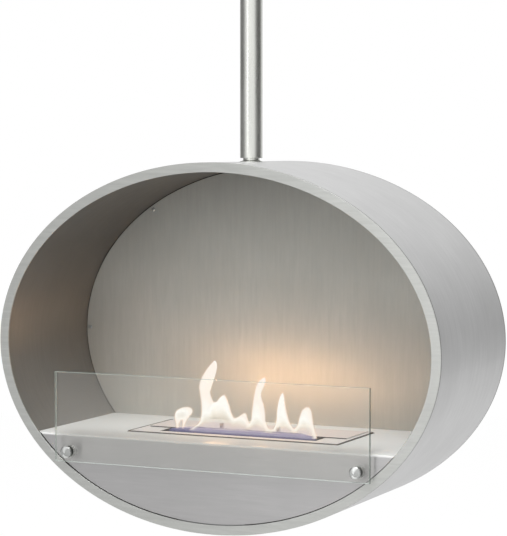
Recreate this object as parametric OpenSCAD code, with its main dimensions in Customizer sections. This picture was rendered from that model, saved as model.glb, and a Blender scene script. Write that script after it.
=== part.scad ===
// Hanging fireplace: an oval double-walled drum on a ceiling tube.
// Millimetres. Origin at the ceiling, on the tube's axis. +Z is up and the open front faces -Y.
// Insets are measured square to the drum's outline, inwards from its outer surface.

/* [Drum] */
// Outer width of the drum
drum_w = 800; // [780:5:900]
// Outer height of the drum
drum_h = 610; // [590:5:700]
// Front to back depth of the drum, over both rims
drum_d = 320; // [310:5:420]
// Sheet thickness of the outer shell
shell_t = 2; // [1.5:0.1:2.2]
// Width of the flat rims at the front and the back
rim_w = 16; // [13:0.5:20]
// Thickness of the rims
rim_t = 3; // [2.8:0.1:4]
// Air gap between the shell and the liner
liner_air = 4.3; // [4:0.1:5]
// Sheet thickness of the liner
liner_t = 1.5; // [1:0.1:2]
// Sheet thickness of the fire back and the rear cover
back_t = 1.5; // [1:0.1:2]
// Distance from the fire back's face to the back of the drum
back_cavity = 36; // [34:1:50]
// Seam between the fire back and the liner
back_seam = 0.8; // [0.5:0.1:1.5]
// Width of the flange that the fire back is screwed to
back_flange_w = 16; // [15:1:24]
// Width of the flange that the rear cover is screwed to
rear_flange_w = 32; // [30:1:40]
// Inset of the rear cover's screws
rear_screw_inset = 26; // [25:0.5:27]
// Distance from the liner to the fire back's screws
back_screw_inset = 8; // [7:0.5:9]
// Side length of the square spacers between shell and liner
spacer_side = 30; // [20:1:40]
// Distance from the front rim to the first row of spacers
spacer_setback = 22; // [10:1:40]

/* [Ceiling and tube] */
// Distance from the ceiling to the top of the drum
hang_drop = 520; // [350:10:1500]
// Outside diameter of the tube
tube_d = 38; // [36:0.5:42]
// Wall of the tube
tube_wall = 2.5; // [2:0.1:3]
// Diameter of the ceiling plate
plate_d = 150; // [145:1:160]
// Thickness of the ceiling plate
plate_t = 6; // [5:0.5:8]
// Diameter of the circle that the anchor holes lie on
anchor_circle = 116; // [110:1:120]
// Diameter of the anchor holes
anchor_d = 9; // [7:0.5:11]
// Length of the spigot inside the tube
spigot_len = 44; // [38:1:50]
// Depth of the tube screws below the ceiling plate
tube_screw_drop = 20; // [16:1:24]
// Outside diameter of the canopy
canopy_d = 176; // [170:1:200]
// Height of the canopy
canopy_h = 48; // [46:1:60]
// Sheet thickness of the canopy
canopy_t = 1.2; // [1:0.1:2]
// Radius of the canopy's lower edge
canopy_r = 8; // [5:0.5:12]
// Height of the collar under the canopy
collar_h = 14; // [12:0.5:20]
// Wall of the collar
collar_wall = 5; // [4:0.5:8]

/* [Swivel] */
// Height of the open neck between the tube and the drum
neck_h = 6; // [5:0.5:12]
// Diameter of the neck
neck_d = 28; // [26:0.5:32]
// Height of the flared base on the drum
flare_h = 2.6; // [2:0.1:3.5]
// Diameter of the flared base where it meets the drum
flare_d = 40; // [38:0.5:46]
// Diameter of the spindle
spindle_d = 16; // [14:0.5:17]
// Wall of the swivel bush
bush_wall = 2; // [1.5:0.1:2.5]
// Length of the swivel housing in the tube's lower end
housing_len = 40; // [30:1:60]
// Thickness of the thrust washer
thrust_t = 3; // [2:0.1:4]
// Height of the castle nut, with its crown
nut_h = 19; // [18:0.5:21]
// Size across the flats of both spindle nuts
nut_flats = 24; // [23:0.5:26]
// Height of the thin nut in the fire chamber
thin_nut_h = 7; // [6:0.5:9]
// Thickness of the washer on the thin nut
foot_washer_t = 1.5; // [1.2:0.1:2.5]
// Diameter of that washer and of the spacer above it
foot_washer_d = 38; // [34:1:50]
// Side length of the saddle plate that spreads the load
saddle_w = 220; // [200:5:260]
// Thickness of the saddle plate
saddle_t = 3; // [2:0.1:3.2]

/* [Hearth] */
// Height of the shelf below the middle of the drum
shelf_drop = 155.5; // [150:0.5:165]
// Sheet thickness of the shelf and front panel
deck_t = 1.5; // [1.2:0.1:2]
// Outer radius of the fold between the shelf and the front panel
fold_r = 4; // [3:0.25:5]
// Setback of the front panel behind the face of the rim
panel_setback = 2.5; // [2:0.1:2.8]
// Gap between the front panel and the rim, and between the rear cover and its rim
panel_gap = 1.2; // [0.8:0.1:2]
// Thickness of the deck rails and the panel catch
rail_t = 2; // [1.5:0.1:3]
// Width of the deck rails under the shelf
rail_w = 30; // [24:1:36]
// Height of the deck rails against the liner
rail_h = 48; // [36:1:56]
// Distance from the front panel to the deck rails
rail_setback = 16; // [10:1:24]
// Distance from the deck rails to the fire back
rail_back_gap = 10; // [5:1:20]
// Width of the catch behind the foot of the front panel
catch_w = 120; // [80:5:160]
// Height of the catch over the drum's floor
catch_h = 34; // [28:1:40]
// Height over the floor under which the catch's foot follows the liner
catch_foot_h = 20; // [14:1:26]
// Length of the catch's foot, front to back
catch_foot_l = 26; // [20:1:34]

/* [Burner] */
// Width of the burner's top plate
burner_w = 388; // [380:1:400]
// Depth of the burner's top plate, front to back
burner_d = 158; // [154:1:170]
// Distance from the front of the drum to the burner's top plate
burner_setback = 77; // [72:1:80]
// Thickness of the top plate
burner_t = 2; // [1.5:0.1:2.5]
// Height of the top plate above the shelf
burner_proud = 0.8; // [0.4:0.1:1.2]
// Gap round the top plate
burner_gap = 2.2; // [1.5:0.1:3]
// Length of the flame slot
slot_l = 290; // [270:1:296]
// Width of the flame slot
slot_w = 40; // [32:1:42]
// Distance from the front of the top plate to the flame slot
slot_setback = 24; // [22:1:28]
// Length of the fuel reservoir
tank_l = 310; // [304:1:316]
// Width of the fuel reservoir
tank_w = 120; // [112:1:128]
// Height of the fuel reservoir
tank_h = 65; // [55:1:75]
// Sheet thickness of the reservoir and the drip tray
tank_t = 1.5; // [1.2:0.1:2]
// Height of the ceramic wool in the reservoir
wool_h = 40; // [30:1:45]
// Space between the reservoir and the drip tray's floor
tray_space = 10; // [6:1:16]
// Ledge of the drip tray under the rim of the top plate
tray_ledge = 4; // [3:0.5:6]
// Width of the drip tray's flange under the shelf
tray_flange = 24; // [18:1:30]

/* [Lid] */
// Width of the sliding lid
lid_w = 368; // [360:1:374]
// Depth of the sliding lid, front to back
lid_d = 89; // [84:1:91]
// Sheet thickness of the lid
lid_t = 1.5; // [1:0.1:2]
// Travel of the lid over the flame slot
lid_travel = 42; // [38:1:43]
// Distance between the two knobs
knob_pitch = 106; // [80:2:160]
// Diameter of the knobs
knob_d = 8; // [6:0.5:12]
// Height of the knobs
knob_h = 10; // [8:0.5:16]
// Distance from the front of the lid to the knobs
knob_setback = 14; // [8:1:20]
// Diameter of the lid's guide studs
stud_d = 6; // [5:0.5:6.5]
// Distance from the side of the lid to its guide studs
stud_inset = 14; // [13:0.5:15]
// Distance between the two guide studs at each side
stud_pitch = 32; // [24:1:34]
// Distance from the back of the lid to the rear guide studs
stud_setback = 11; // [10:1:13]
// Least gap from the heads of the guide studs to the reservoir and to the drip tray
stud_gap = 2; // [1:0.5:4]

/* [Glass screen] */
// Width of the glass
glass_w = 572; // [560:1:580]
// Height of the glass
glass_h = 152; // [140:1:160]
// Thickness of the glass
glass_t = 6; // [5:0.5:8]
// Depth of the glass's lower edge below the shelf
glass_drop = 44.5; // [42:0.5:50]
// Distance from the front panel to the back of the glass
glass_gap = 8.5; // [7:0.5:12]
// Distance from the side of the glass to the standoffs
cap_inset_x = 23; // [20:0.5:30]
// Least distance from the middle of a standoff to the side of the front panel
cap_edge = 13; // [11:0.5:20]
// Distance from the lower edge of the glass to the standoffs
cap_inset_z = 16.7; // [15:0.1:20]
// Diameter of the standoffs
cap_d = 20; // [18:0.5:22]
// Thickness of the standoff caps
cap_t = 4; // [3:0.5:6]
// Diameter of the standoff studs
bolt_d = 8; // [6:0.5:8.5]
// Thickness of the gaskets on both faces of the glass
gasket_t = 0.8; // [0.5:0.1:1.2]

/* [Clearances] */
// Gap at rest between a loose piece and its seat
rest_gap = 0.3; // [0.2:0.05:0.4]
// Radial clearance of the spindle in its bush
swivel_fit = 0.05; // [0.02:0.01:0.1]
// Radial clearance of screws and studs in their holes
screw_fit = 0.2; // [0.1:0.05:0.3]
// Radial clearance of the tube on its spigot, and of the canopy on the tube
tube_fit = 0.3; // [0.2:0.05:0.4]

/* [Hidden] */
$fn = 72;

// Facets of the drum's outline
outline_steps = 180;
// Small bites that keep cuts clear of the faces they open
bite = 1;

// Heights
drum_top = -hang_drop;
drum_z = drum_top - drum_h / 2;
shelf_z = drum_z - shelf_drop;
tube_foot = drum_top + neck_h;

// Insets of the drum's layers
liner_out = shell_t + liner_air;
liner_in = liner_out + liner_t;
panel_inset = rim_w + panel_gap;
saddle_in = shell_t + saddle_t;

// Places from front to back
front_y = -drum_d / 2;
back_y = drum_d / 2;
shell_front = front_y + rim_t;
shell_back = back_y - rim_t;
panel_face = front_y + panel_setback;
panel_back = panel_face + deck_t;
fire_back_y = back_y - back_cavity;
flange_y = fire_back_y + back_t;
rear_face = back_y - panel_setback;
rear_seat = rear_face - back_t;

// Turned parts of the tube
tube_bore = tube_d - 2 * tube_wall;
housing_top = tube_foot + housing_len;
bush_d = spindle_d + 2 * swivel_fit + 2 * bush_wall;
thrust_top = housing_top + thrust_t;
nut_foot = thrust_top + rest_gap;
spindle_tail = 4;
spindle_top = nut_foot + nut_h + spindle_tail;
pin_z = nut_foot + nut_h * 0.84;
split_pin_d = 3.2;
split_pin_head = 1.6;
neck_foot = drum_top + flare_h;
washer_top = drum_top - liner_in;
thin_nut_top = washer_top - foot_washer_t;
thread_end = 0.5;
spindle_foot = thin_nut_top - thin_nut_h - thread_end;
tube_screw_d = 6;
tube_screw_z = -plate_t - tube_screw_drop;
collar_d = tube_d + 2 * tube_fit + 2 * collar_wall;
collar_screw_z = -canopy_h - collar_h / 2;
grub_sink = 0.4;
grub_socket = 2;

// Fixings in sheet metal
sheet_screw_d = 4;
sheet_head_d = 7;
sheet_head_h = 2.2;
sheet_screw_tail = 5;

// Burner
plate_front = front_y + burner_setback;
plate_back = plate_front + burner_d;
plate_mid = (plate_front + plate_back) / 2;
plate_top = shelf_z + burner_proud;
plate_foot = plate_top - burner_t;
slot_front = plate_front + slot_setback;
slot_back = slot_front + slot_w;
tank_lead = 5;
tank_mid = slot_front - tank_lead + tank_w / 2 - tank_t;
tray_top = shelf_z - deck_t;
tray_depth = tank_h + tray_space + tank_t + rest_gap;
tray_w = burner_w - 2 * tray_ledge;
tray_d = burner_d - 2 * tray_ledge;

// Lid
lid_overlap = 1;
lid_front = slot_back - lid_overlap;
lid_foot = plate_top + rest_gap;
lid_top = lid_foot + lid_t;
stud_head_ledge = 2.5;
stud_head_d = stud_d + 2 * stud_head_ledge;
stud_head_h = 2;
stud_room = stud_head_d / 2 + stud_gap;
stud_x = max(tank_l / 2 + stud_room, min(lid_w / 2 - stud_inset, tray_w / 2 - stud_room));
stud_back_y = lid_front + lid_d - stud_setback;
stud_front_y = stud_back_y - stud_pitch;

// Glass screen
glass_back = panel_face - glass_gap;
glass_front = glass_back - glass_t;
glass_foot = shelf_z - glass_drop;
cap_z = glass_foot + cap_inset_z;
cap_x = min(glass_w / 2 - cap_inset_x, half_width(drum_z - cap_z, panel_inset) - cap_edge);
cap_back = glass_front - gasket_t;
cap_front = cap_back - cap_t;
barrel_front = glass_back + gasket_t;
washer_t = 1.2;
washer_d = 2 * bolt_d;
bolt_nut_h = 0.8 * bolt_d;
bolt_tail = 3;
bolt_end = panel_back + washer_t + bolt_nut_h + bolt_tail;
cap_skin = 1.5;
gasket_edge = 1;
glass_play = 1;

// A point on the curve that lies an even inset inside the drum's outline
function outline_point(angle, inset) =
    let (a = drum_w / 2, b = drum_h / 2,
         n = [b * cos(angle), a * sin(angle)])
    [a * cos(angle), b * sin(angle)] - inset * n / norm(n);

// Half the width inside an inset, at a depth below the drum's middle
function half_width(depth, inset) =
    (drum_w / 2 - inset) * sqrt(1 - pow(depth / (drum_h / 2 - inset), 2));

// The angle a quarter of the way round by length, where the corner screws sit
quarter_angle = atan2(drum_w + 0.35 * (drum_w - drum_h), drum_h + 0.35 * (drum_w - drum_h)) - 3;
screw_angles = [
    0, quarter_angle, 90, 180 - quarter_angle,
    180, 180 + quarter_angle, 270, 360 - quarter_angle
];
spacer_angles = [for (k = [0:7]) 22.5 + 45 * k];
spacer_rows = [shell_front + spacer_setback, fire_back_y - spacer_side];

// The drum's outline, drawn flat, at an inset
module outline(inset) {
    polygon([for (k = [0:outline_steps - 1]) outline_point(360 * k / outline_steps, inset)]);
}

// A flat ring between two insets
module outline_ring(outer, inner) {
    difference() {
        outline(outer);
        outline(inner);
    }
}

// Stretches a flat drawing of the drum's face from y0 to y1, about the drum's middle
module drum_prism(y0, y1) {
    translate([0, y1, drum_z])
        rotate([90, 0, 0])
            linear_extrude(y1 - y0)
                children();
}

// A cylinder along Y from y0 to y1
module rod_y(x, z, d, y0, y1) {
    translate([x, y0, z])
        rotate([-90, 0, 0])
            cylinder(d = d, h = y1 - y0);
}

// A cylinder along Z from z0 to z1
module rod_z(x, y, d, z0, z1) {
    translate([x, y, z0])
        cylinder(d = d, h = z1 - z0);
}

// A flat box from corner to corner
module slab(x0, x1, y0, y1, z0, z1) {
    translate([x0, y0, z0])
        cube([x1 - x0, y1 - y0, z1 - z0]);
}

// Copies to both sides
module both_sides(x) {
    for (side = [-1, 1])
        translate([side * x, 0, 0])
            children();
}

// A slightly domed screw head on the -Z side of the origin
module domed_head(d, h) {
    rotate_extrude()
        polygon([[0, 0], [d / 2, 0], [d / 2, -h * 0.55], [d * 0.36, -h * 0.9], [0, -h]]);
}

// ---- Ceiling and tube ----

module ceiling_plate() {
    color("gainsboro")
        difference() {
            union() {
                rod_z(0, 0, plate_d, -plate_t, 0);
                rod_z(0, 0, tube_bore - 2 * tube_fit, -plate_t - spigot_len, -plate_t);
            }
            for (k = [0:3])
                rotate([0, 0, 45 + 90 * k])
                    rod_z(anchor_circle / 2, 0, anchor_d, -plate_t - bite, bite);
            translate([0, 0, tube_screw_z])
                rotate([0, 90, 0])
                    cylinder(d = tube_screw_d, h = tube_d, center = true);
        }
}

module hanging_tube() {
    color("silver")
        difference() {
            rod_z(0, 0, tube_d, tube_foot, -plate_t);
            rod_z(0, 0, tube_bore, tube_foot - bite, -plate_t + bite);
            translate([0, 0, tube_screw_z])
                rotate([0, 90, 0])
                    cylinder(d = tube_screw_d + 2 * screw_fit, h = tube_d + bite, center = true);
        }
}

module tube_screws() {
    shank_in = 5;
    color("dimgray")
        for (side = [0, 180])
            rotate([0, 0, side])
                translate([tube_d / 2 + rest_gap, 0, tube_screw_z])
                    rotate([0, -90, 0]) {
                        domed_head(tube_screw_d * 1.8, tube_screw_d * 0.55);
                        cylinder(d = tube_screw_d - 2 * swivel_fit, h = tube_d / 2 - shank_in);
                    }
}

// ---- Canopy ----

// A spun cup over the ceiling plate, open at the top
module canopy() {
    rim_z = -rest_gap;
    foot = -canopy_h;
    outer = canopy_d / 2;
    bend = [for (k = [0:6]) [sin(15 * k), cos(15 * k)]];
    color("silver")
        rotate_extrude($fn = 96)
            polygon(concat(
                [[tube_d / 2 + tube_fit, foot]],
                [for (p = bend) [outer - canopy_r + canopy_r * p[0], foot + canopy_r - canopy_r * p[1]]],
                [[outer, rim_z], [outer - canopy_t, rim_z]],
                [for (k = [0:6])
                    [outer - canopy_r + (canopy_r - canopy_t) * bend[6 - k][0],
                     foot + canopy_r - (canopy_r - canopy_t) * bend[6 - k][1]]],
                [[tube_d / 2 + tube_fit, foot + canopy_t]]
            ));
}

module canopy_collar() {
    color("silver")
        difference() {
            rod_z(0, 0, collar_d, -canopy_h - collar_h, -canopy_h);
            rod_z(0, 0, tube_d + 2 * tube_fit, -canopy_h - collar_h - bite, -canopy_h + bite);
            translate([0, 0, collar_screw_z])
                rotate([-90, 0, 0])
                    cylinder(d = sheet_screw_d, h = collar_d);
        }
}

module collar_grub_screw() {
    head_y = collar_d / 2 - grub_sink;
    color("dimgray")
        difference() {
            rod_y(0, collar_screw_z, sheet_screw_d - 2 * swivel_fit, tube_d / 2 + 2 * tube_fit, head_y);
            rod_y(0, collar_screw_z, sheet_screw_d * 0.5, head_y - grub_socket, head_y + bite);
        }
}

// ---- Swivel ----

// A turned plug welded into the foot of the tube
module swivel_housing() {
    color("silver")
        difference() {
            rod_z(0, 0, tube_bore - 2 * swivel_fit, tube_foot, housing_top);
            rod_z(0, 0, bush_d, tube_foot - bite, housing_top + bite);
        }
}

module swivel_bush() {
    color("darkgoldenrod")
        difference() {
            rod_z(0, 0, bush_d, tube_foot, housing_top);
            rod_z(0, 0, spindle_d + 2 * swivel_fit, tube_foot - bite, housing_top + bite);
        }
}

module thrust_washer() {
    color("darkgoldenrod")
        difference() {
            rod_z(0, 0, tube_bore - 2 * tube_fit, housing_top, thrust_top);
            rod_z(0, 0, spindle_d + 2 * screw_fit, housing_top - bite, thrust_top + bite);
        }
}

// The drum hangs from this: the visible neck, a journal in the tube and a stud in the drum
module swivel_spindle() {
    color("silver")
        difference() {
            union() {
                rod_z(0, 0, neck_d, neck_foot, tube_foot - rest_gap);
                rod_z(0, 0, spindle_d, spindle_foot, spindle_top);
            }
            translate([0, 0, pin_z])
                rotate([90, 0, 0])
                    cylinder(d = split_pin_d, h = 2 * spindle_d, center = true);
        }
}

// A hexagon nut with a slotted crown, held by the split pin
module castle_nut() {
    crown_h = nut_h * 0.32;
    crown_d = nut_flats * 0.92;
    nut_top = nut_foot + nut_h;
    color("gray")
        difference() {
            union() {
                translate([0, 0, nut_foot])
                    cylinder(d = nut_flats / cos(30), h = nut_h - crown_h, $fn = 6);
                rod_z(0, 0, crown_d, nut_top - crown_h, nut_top);
            }
            rod_z(0, 0, spindle_d + 2 * swivel_fit, nut_foot - bite, nut_top + bite);
            for (k = [0:2])
                rotate([0, 0, 90 + 60 * k])
                    slab(-nut_flats, nut_flats, -split_pin_d * 0.62, split_pin_d * 0.62,
                         nut_top - crown_h + 0.4, nut_top + bite);
        }
}

module split_pin() {
    reach = nut_flats / 2 + 1;
    color("gray")
        translate([0, 0, pin_z])
            rotate([90, 0, 0]) {
                cylinder(d = split_pin_d - 2 * swivel_fit, h = 2 * reach, center = true);
                translate([0, 0, reach])
                    cylinder(d = split_pin_d * 1.6, h = split_pin_head);
            }
}

// A flared ring round the neck, shaped to the drum's curved top
module flared_base() {
    bore = spindle_d / 2 + screw_fit;
    color("silver")
        difference() {
            translate([0, 0, drum_top])
                rotate_extrude()
                    polygon([
                        [bore, -bite], [flare_d / 2, -bite], [flare_d / 2, 0.4],
                        [neck_d / 2 + 1.5, flare_h * 0.55], [neck_d / 2, flare_h], [bore, flare_h]
                    ]);
            drum_prism(-flare_d, flare_d) outline(0);
        }
}

// The hole for the spindle's stud, through the layers at the top of the drum
module stud_hole() {
    rod_z(0, 0, spindle_d + 2 * screw_fit, drum_top - 2 * liner_in, drum_top + bite);
}

// A curved plate under the shell that spreads the drum's weight
module saddle_plate() {
    color("gray")
        difference() {
            drum_prism(-saddle_w / 2, saddle_w / 2)
                intersection() {
                    outline_ring(shell_t, saddle_in);
                    translate([-saddle_w / 2, 0])
                        square([saddle_w, drum_h]);
                }
            stud_hole();
        }
}

// Fills the air gap at the stud, so that the thin nut clamps the layers
module saddle_spacer() {
    color("gray")
        difference() {
            intersection() {
                rod_z(0, 0, foot_washer_d, drum_top - 2 * liner_in, drum_top);
                drum_prism(-drum_d / 2, drum_d / 2) outline_ring(saddle_in, liner_out);
            }
            stud_hole();
        }
}

// A washer with its upper face curved like the liner
module foot_washer() {
    color("gainsboro")
        difference() {
            intersection() {
                rod_z(0, 0, foot_washer_d, thin_nut_top, drum_top);
                drum_prism(-drum_d / 2, drum_d / 2) outline(liner_in);
            }
            stud_hole();
        }
}

module thin_nut() {
    color("gainsboro")
        difference() {
            translate([0, 0, thin_nut_top - thin_nut_h])
                cylinder(d = nut_flats / cos(30), h = thin_nut_h, $fn = 6);
            rod_z(0, 0, spindle_d + 2 * swivel_fit, spindle_foot - bite, thin_nut_top + bite);
        }
}

// ---- Drum ----

module outer_shell() {
    color("silver")
        difference() {
            drum_prism(shell_front, shell_back) outline_ring(0, shell_t);
            stud_hole();
        }
}

module front_rim() {
    color("gainsboro")
        drum_prism(front_y, shell_front) outline_ring(0, rim_w);
}

module rear_rim() {
    color("gainsboro")
        drum_prism(shell_back, back_y) outline_ring(0, rim_w);
}

module inner_liner() {
    color("darkgray")
        difference() {
            drum_prism(shell_front, flange_y + back_t) outline_ring(liner_out, liner_in);
            stud_hole();
        }
}

module liner_spacers() {
    color("gray")
        for (y = spacer_rows)
            for (angle = spacer_angles)
                drum_prism(y, y + spacer_side)
                    intersection() {
                        outline_ring(shell_t, liner_out);
                        translate(outline_point(angle, liner_air))
                            square(spacer_side, center = true);
                    }
}

module back_flange() {
    screw_line = liner_in + back_screw_inset;
    color("gray")
        difference() {
            drum_prism(flange_y, flange_y + back_t)
                outline_ring(liner_in, liner_in + back_flange_w);
            sheet_screw_holes(screw_line, flange_y, flange_y + back_t, 0);
        }
}

module fire_back() {
    screw_line = liner_in + back_screw_inset;
    color("darkgray")
        difference() {
            drum_prism(fire_back_y, flange_y) outline(liner_in + back_seam);
            sheet_screw_holes(screw_line, fire_back_y, flange_y, screw_fit);
        }
}

module fire_back_screws() {
    color("gainsboro")
        sheet_screws(liner_in + back_screw_inset)
            translate([0, fire_back_y, 0])
                sheet_screw(1);
}

module rear_flange() {
    color("gray")
        difference() {
            drum_prism(rear_seat - back_t, rear_seat) outline_ring(shell_t, shell_t + rear_flange_w);
            sheet_screw_holes(rear_screw_inset, rear_seat - back_t, rear_seat, 0);
        }
}

module rear_cover() {
    color("silver")
        difference() {
            drum_prism(rear_seat, rear_face) outline(panel_inset);
            sheet_screw_holes(rear_screw_inset, rear_seat, rear_face, screw_fit);
        }
}

module rear_cover_screws() {
    color("gainsboro")
        sheet_screws(rear_screw_inset)
            translate([0, rear_face, 0])
                sheet_screw(-1);
}

// Puts its child at each screw place round the drum, on a line at an inset
module sheet_screws(inset) {
    for (angle = screw_angles) {
        p = outline_point(angle, inset);
        translate([p[0], 0, drum_z + p[1]])
            children();
    }
}

// A domed sheet screw seated at y = 0: its shank points to +Y, or to -Y if direction is -1
module sheet_screw(direction) {
    rotate([-90 * direction, 0, 0]) {
        domed_head(sheet_head_d, sheet_head_h);
        cylinder(d = sheet_screw_d - 2 * swivel_fit, h = 2 * back_t + sheet_screw_tail);
    }
}

module sheet_screw_holes(inset, y0, y1, clearance) {
    sheet_screws(inset)
        rod_y(0, 0, sheet_screw_d + 2 * clearance, y0 - bite, y1 + bite);
}

// ---- Hearth ----

// Shelf and front panel, folded from one sheet
module hearth_deck() {
    fold_back = panel_face + fold_r;
    opening_x = burner_w / 2 + burner_gap;
    color("gainsboro")
        difference() {
            union() {
                // shelf, as wide as the liner
                intersection() {
                    drum_prism(fold_back, fire_back_y - rest_gap) outline(liner_in + rest_gap);
                    slab(-drum_w, drum_w, -drum_d, drum_d, shelf_z - deck_t, shelf_z);
                }
                // fold and front panel, inside the rim
                intersection() {
                    drum_prism(-drum_d, drum_d) outline(panel_inset);
                    folded_front(fold_back);
                }
            }
            slab(-opening_x, opening_x, plate_front - burner_gap, plate_back + burner_gap,
                 shelf_z - 2 * deck_t, shelf_z + bite);
            both_sides(cap_x)
                rod_y(0, cap_z, bolt_d + 2 * screw_fit, panel_face - bite, panel_back + bite);
        }
}

// The fold's round edge and the flat sheet under it
module folded_front(fold_back) {
    slab(-drum_w / 2, drum_w / 2, panel_face, panel_back, drum_z - drum_h, shelf_z - fold_r);
    difference() {
        translate([-drum_w / 2, fold_back, shelf_z - fold_r])
            rotate([0, 90, 0])
                cylinder(r = fold_r, h = drum_w);
        translate([-drum_w, fold_back, shelf_z - fold_r])
            rotate([0, 90, 0])
                cylinder(r = fold_r - deck_t, h = 2 * drum_w);
        slab(-drum_w, drum_w, fold_back, drum_d, -2 * hang_drop - drum_h, 0);
        slab(-drum_w, drum_w, -drum_d, drum_d, -2 * hang_drop - drum_h, shelf_z - fold_r);
    }
}

// An angle rail under one end of the shelf, welded to the liner
module deck_rail(side) {
    top = -shelf_drop - deck_t;
    color("gray")
        drum_prism(panel_back + rail_setback, fire_back_y - rail_back_gap)
            intersection() {
                difference() {
                    outline(liner_in);
                    difference() {
                        outline(liner_in + rail_t);
                        translate([-drum_w, top - rail_t])
                            square([2 * drum_w, rail_t]);
                    }
                }
                rail_window(side, top);
            }
}

// The part of the section that one rail covers: its leg, and its flange up to rail_w wide
module rail_window(side, top) {
    reach = half_width(-top, liner_in) - rail_w;
    mirror([side < 0 ? 1 : 0, 0])
        translate([reach, top - rail_h])
            square([drum_w, rail_h]);
}

module left_deck_rail() {
    deck_rail(-1);
}

module right_deck_rail() {
    deck_rail(1);
}

// A bracket on the liner's floor that the foot of the front panel clips against
module panel_catch() {
    floor_z = drum_z - drum_h / 2 + liner_in;
    color("gray")
        intersection() {
            drum_prism(panel_back, panel_back + catch_foot_l) outline(liner_in);
            union() {
                slab(-catch_w / 2, catch_w / 2, panel_back, panel_back + rail_t,
                     floor_z, floor_z + catch_h);
                difference() {
                    slab(-catch_w / 2, catch_w / 2, panel_back, panel_back + catch_foot_l,
                         floor_z, floor_z + catch_foot_h);
                    drum_prism(-drum_d, drum_d) outline(liner_in + rail_t);
                }
            }
        }
}

// A flanged box under the shelf that carries the burner and catches spills
module drip_tray() {
    half_w = tray_w / 2;
    half_d = tray_d / 2;
    color("gray")
        translate([0, plate_mid, tray_top])
            difference() {
                union() {
                    slab(-half_w - tray_flange, half_w + tray_flange,
                         -half_d - tray_flange, half_d + tray_flange, -tank_t, 0);
                    slab(-half_w - tank_t, half_w + tank_t,
                         -half_d - tank_t, half_d + tank_t, -tray_depth, 0);
                }
                slab(-half_w, half_w, -half_d, half_d, tank_t - tray_depth, bite);
            }
}

// ---- Burner ----

module burner_plate() {
    guide_w = stud_d + 2 * rest_gap;
    guide_front = stud_front_y - lid_travel;
    color("silver")
        difference() {
            slab(-burner_w / 2, burner_w / 2, plate_front, plate_back, plate_foot, plate_top);
            slab(-slot_l / 2, slot_l / 2, slot_front, slot_back, plate_foot - bite, plate_top + bite);
            both_sides(stud_x) {
                slab(-guide_w / 2, guide_w / 2, guide_front, stud_back_y,
                     plate_foot - bite, plate_top + bite);
                for (y = [guide_front, stud_back_y])
                    rod_z(0, y, guide_w, plate_foot - bite, plate_top + bite);
            }
        }
}

module fuel_reservoir() {
    color("silver")
        translate([0, tank_mid, plate_foot - tank_h])
            difference() {
                slab(-tank_l / 2, tank_l / 2, -tank_w / 2, tank_w / 2, 0, tank_h);
                slab(-tank_l / 2 + tank_t, tank_l / 2 - tank_t,
                     -tank_w / 2 + tank_t, tank_w / 2 - tank_t, tank_t, tank_h + bite);
            }
}

module ceramic_wool() {
    side = tank_t + rest_gap;
    color("white")
        translate([0, tank_mid, plate_foot - tank_h])
            slab(-tank_l / 2 + side, tank_l / 2 - side, -tank_w / 2 + side, tank_w / 2 - side,
                 side, side + wool_h);
}

// ---- Lid ----

module burner_lid() {
    color("silver")
        slab(-lid_w / 2, lid_w / 2, lid_front, lid_front + lid_d, lid_foot, lid_top);
}

module lid_knobs() {
    color("gray")
        both_sides(knob_pitch / 2)
            translate([0, lid_front + knob_setback, lid_top])
                rotate_extrude()
                    polygon([
                        [0, 0], [knob_d / 2, 0], [knob_d / 2, knob_h - 0.8],
                        [knob_d / 2 - 0.8, knob_h], [0, knob_h]
                    ]);
}

// Headed studs that guide the lid in the slots of the top plate
module lid_guide_studs() {
    head_top = plate_foot - rest_gap;
    color("gray")
        both_sides(stud_x)
            for (y = [stud_front_y, stud_back_y]) {
                rod_z(0, y, stud_d, head_top, lid_foot);
                rod_z(0, y, stud_head_d, head_top - stud_head_h, head_top);
            }
}

// ---- Glass screen ----

module glass_pane() {
    color("lightcyan", 0.35)
        difference() {
            slab(-glass_w / 2, glass_w / 2, glass_front, glass_back,
                 glass_foot, glass_foot + glass_h);
            both_sides(cap_x)
                rod_y(0, cap_z, bolt_d + 2 * glass_play, glass_front - bite, glass_back + bite);
        }
}

// A disc with a hole for the standoff stud, at both standoffs
module standoff_ring(d, hole, y0, y1) {
    both_sides(cap_x)
        difference() {
            rod_y(0, cap_z, d, y0, y1);
            rod_y(0, cap_z, hole, y0 - bite, y1 + bite);
        }
}

module glass_gaskets() {
    color("whitesmoke") {
        standoff_ring(cap_d - 2 * gasket_edge, bolt_d + 2 * screw_fit, cap_back, glass_front);
        standoff_ring(cap_d - 2 * gasket_edge, bolt_d + 2 * screw_fit, glass_back, barrel_front);
    }
}

module standoff_barrels() {
    color("silver")
        standoff_ring(cap_d, bolt_d + 2 * screw_fit, barrel_front, panel_face);
}

module standoff_caps() {
    color("silver")
        both_sides(cap_x)
            difference() {
                rod_y(0, cap_z, cap_d, cap_front, cap_back);
                rod_y(0, cap_z, bolt_d, cap_front + cap_skin, cap_back + bite);
            }
}

module standoff_studs() {
    color("gray")
        both_sides(cap_x)
            rod_y(0, cap_z, bolt_d - 2 * swivel_fit, cap_front + cap_skin + swivel_fit, bolt_end);
}

module standoff_washers() {
    color("gray")
        standoff_ring(washer_d, bolt_d + 2 * screw_fit, panel_back, panel_back + washer_t);
}

module standoff_nuts() {
    nut_face = panel_back + washer_t;
    color("gray")
        both_sides(cap_x)
            difference() {
                translate([0, nut_face, cap_z])
                    rotate([-90, 0, 0])
                        cylinder(d = 1.625 * bolt_d / cos(30), h = bolt_nut_h, $fn = 6);
                rod_y(0, cap_z, bolt_d, nut_face - bite, nut_face + bolt_nut_h + bite);
            }
}

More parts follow.
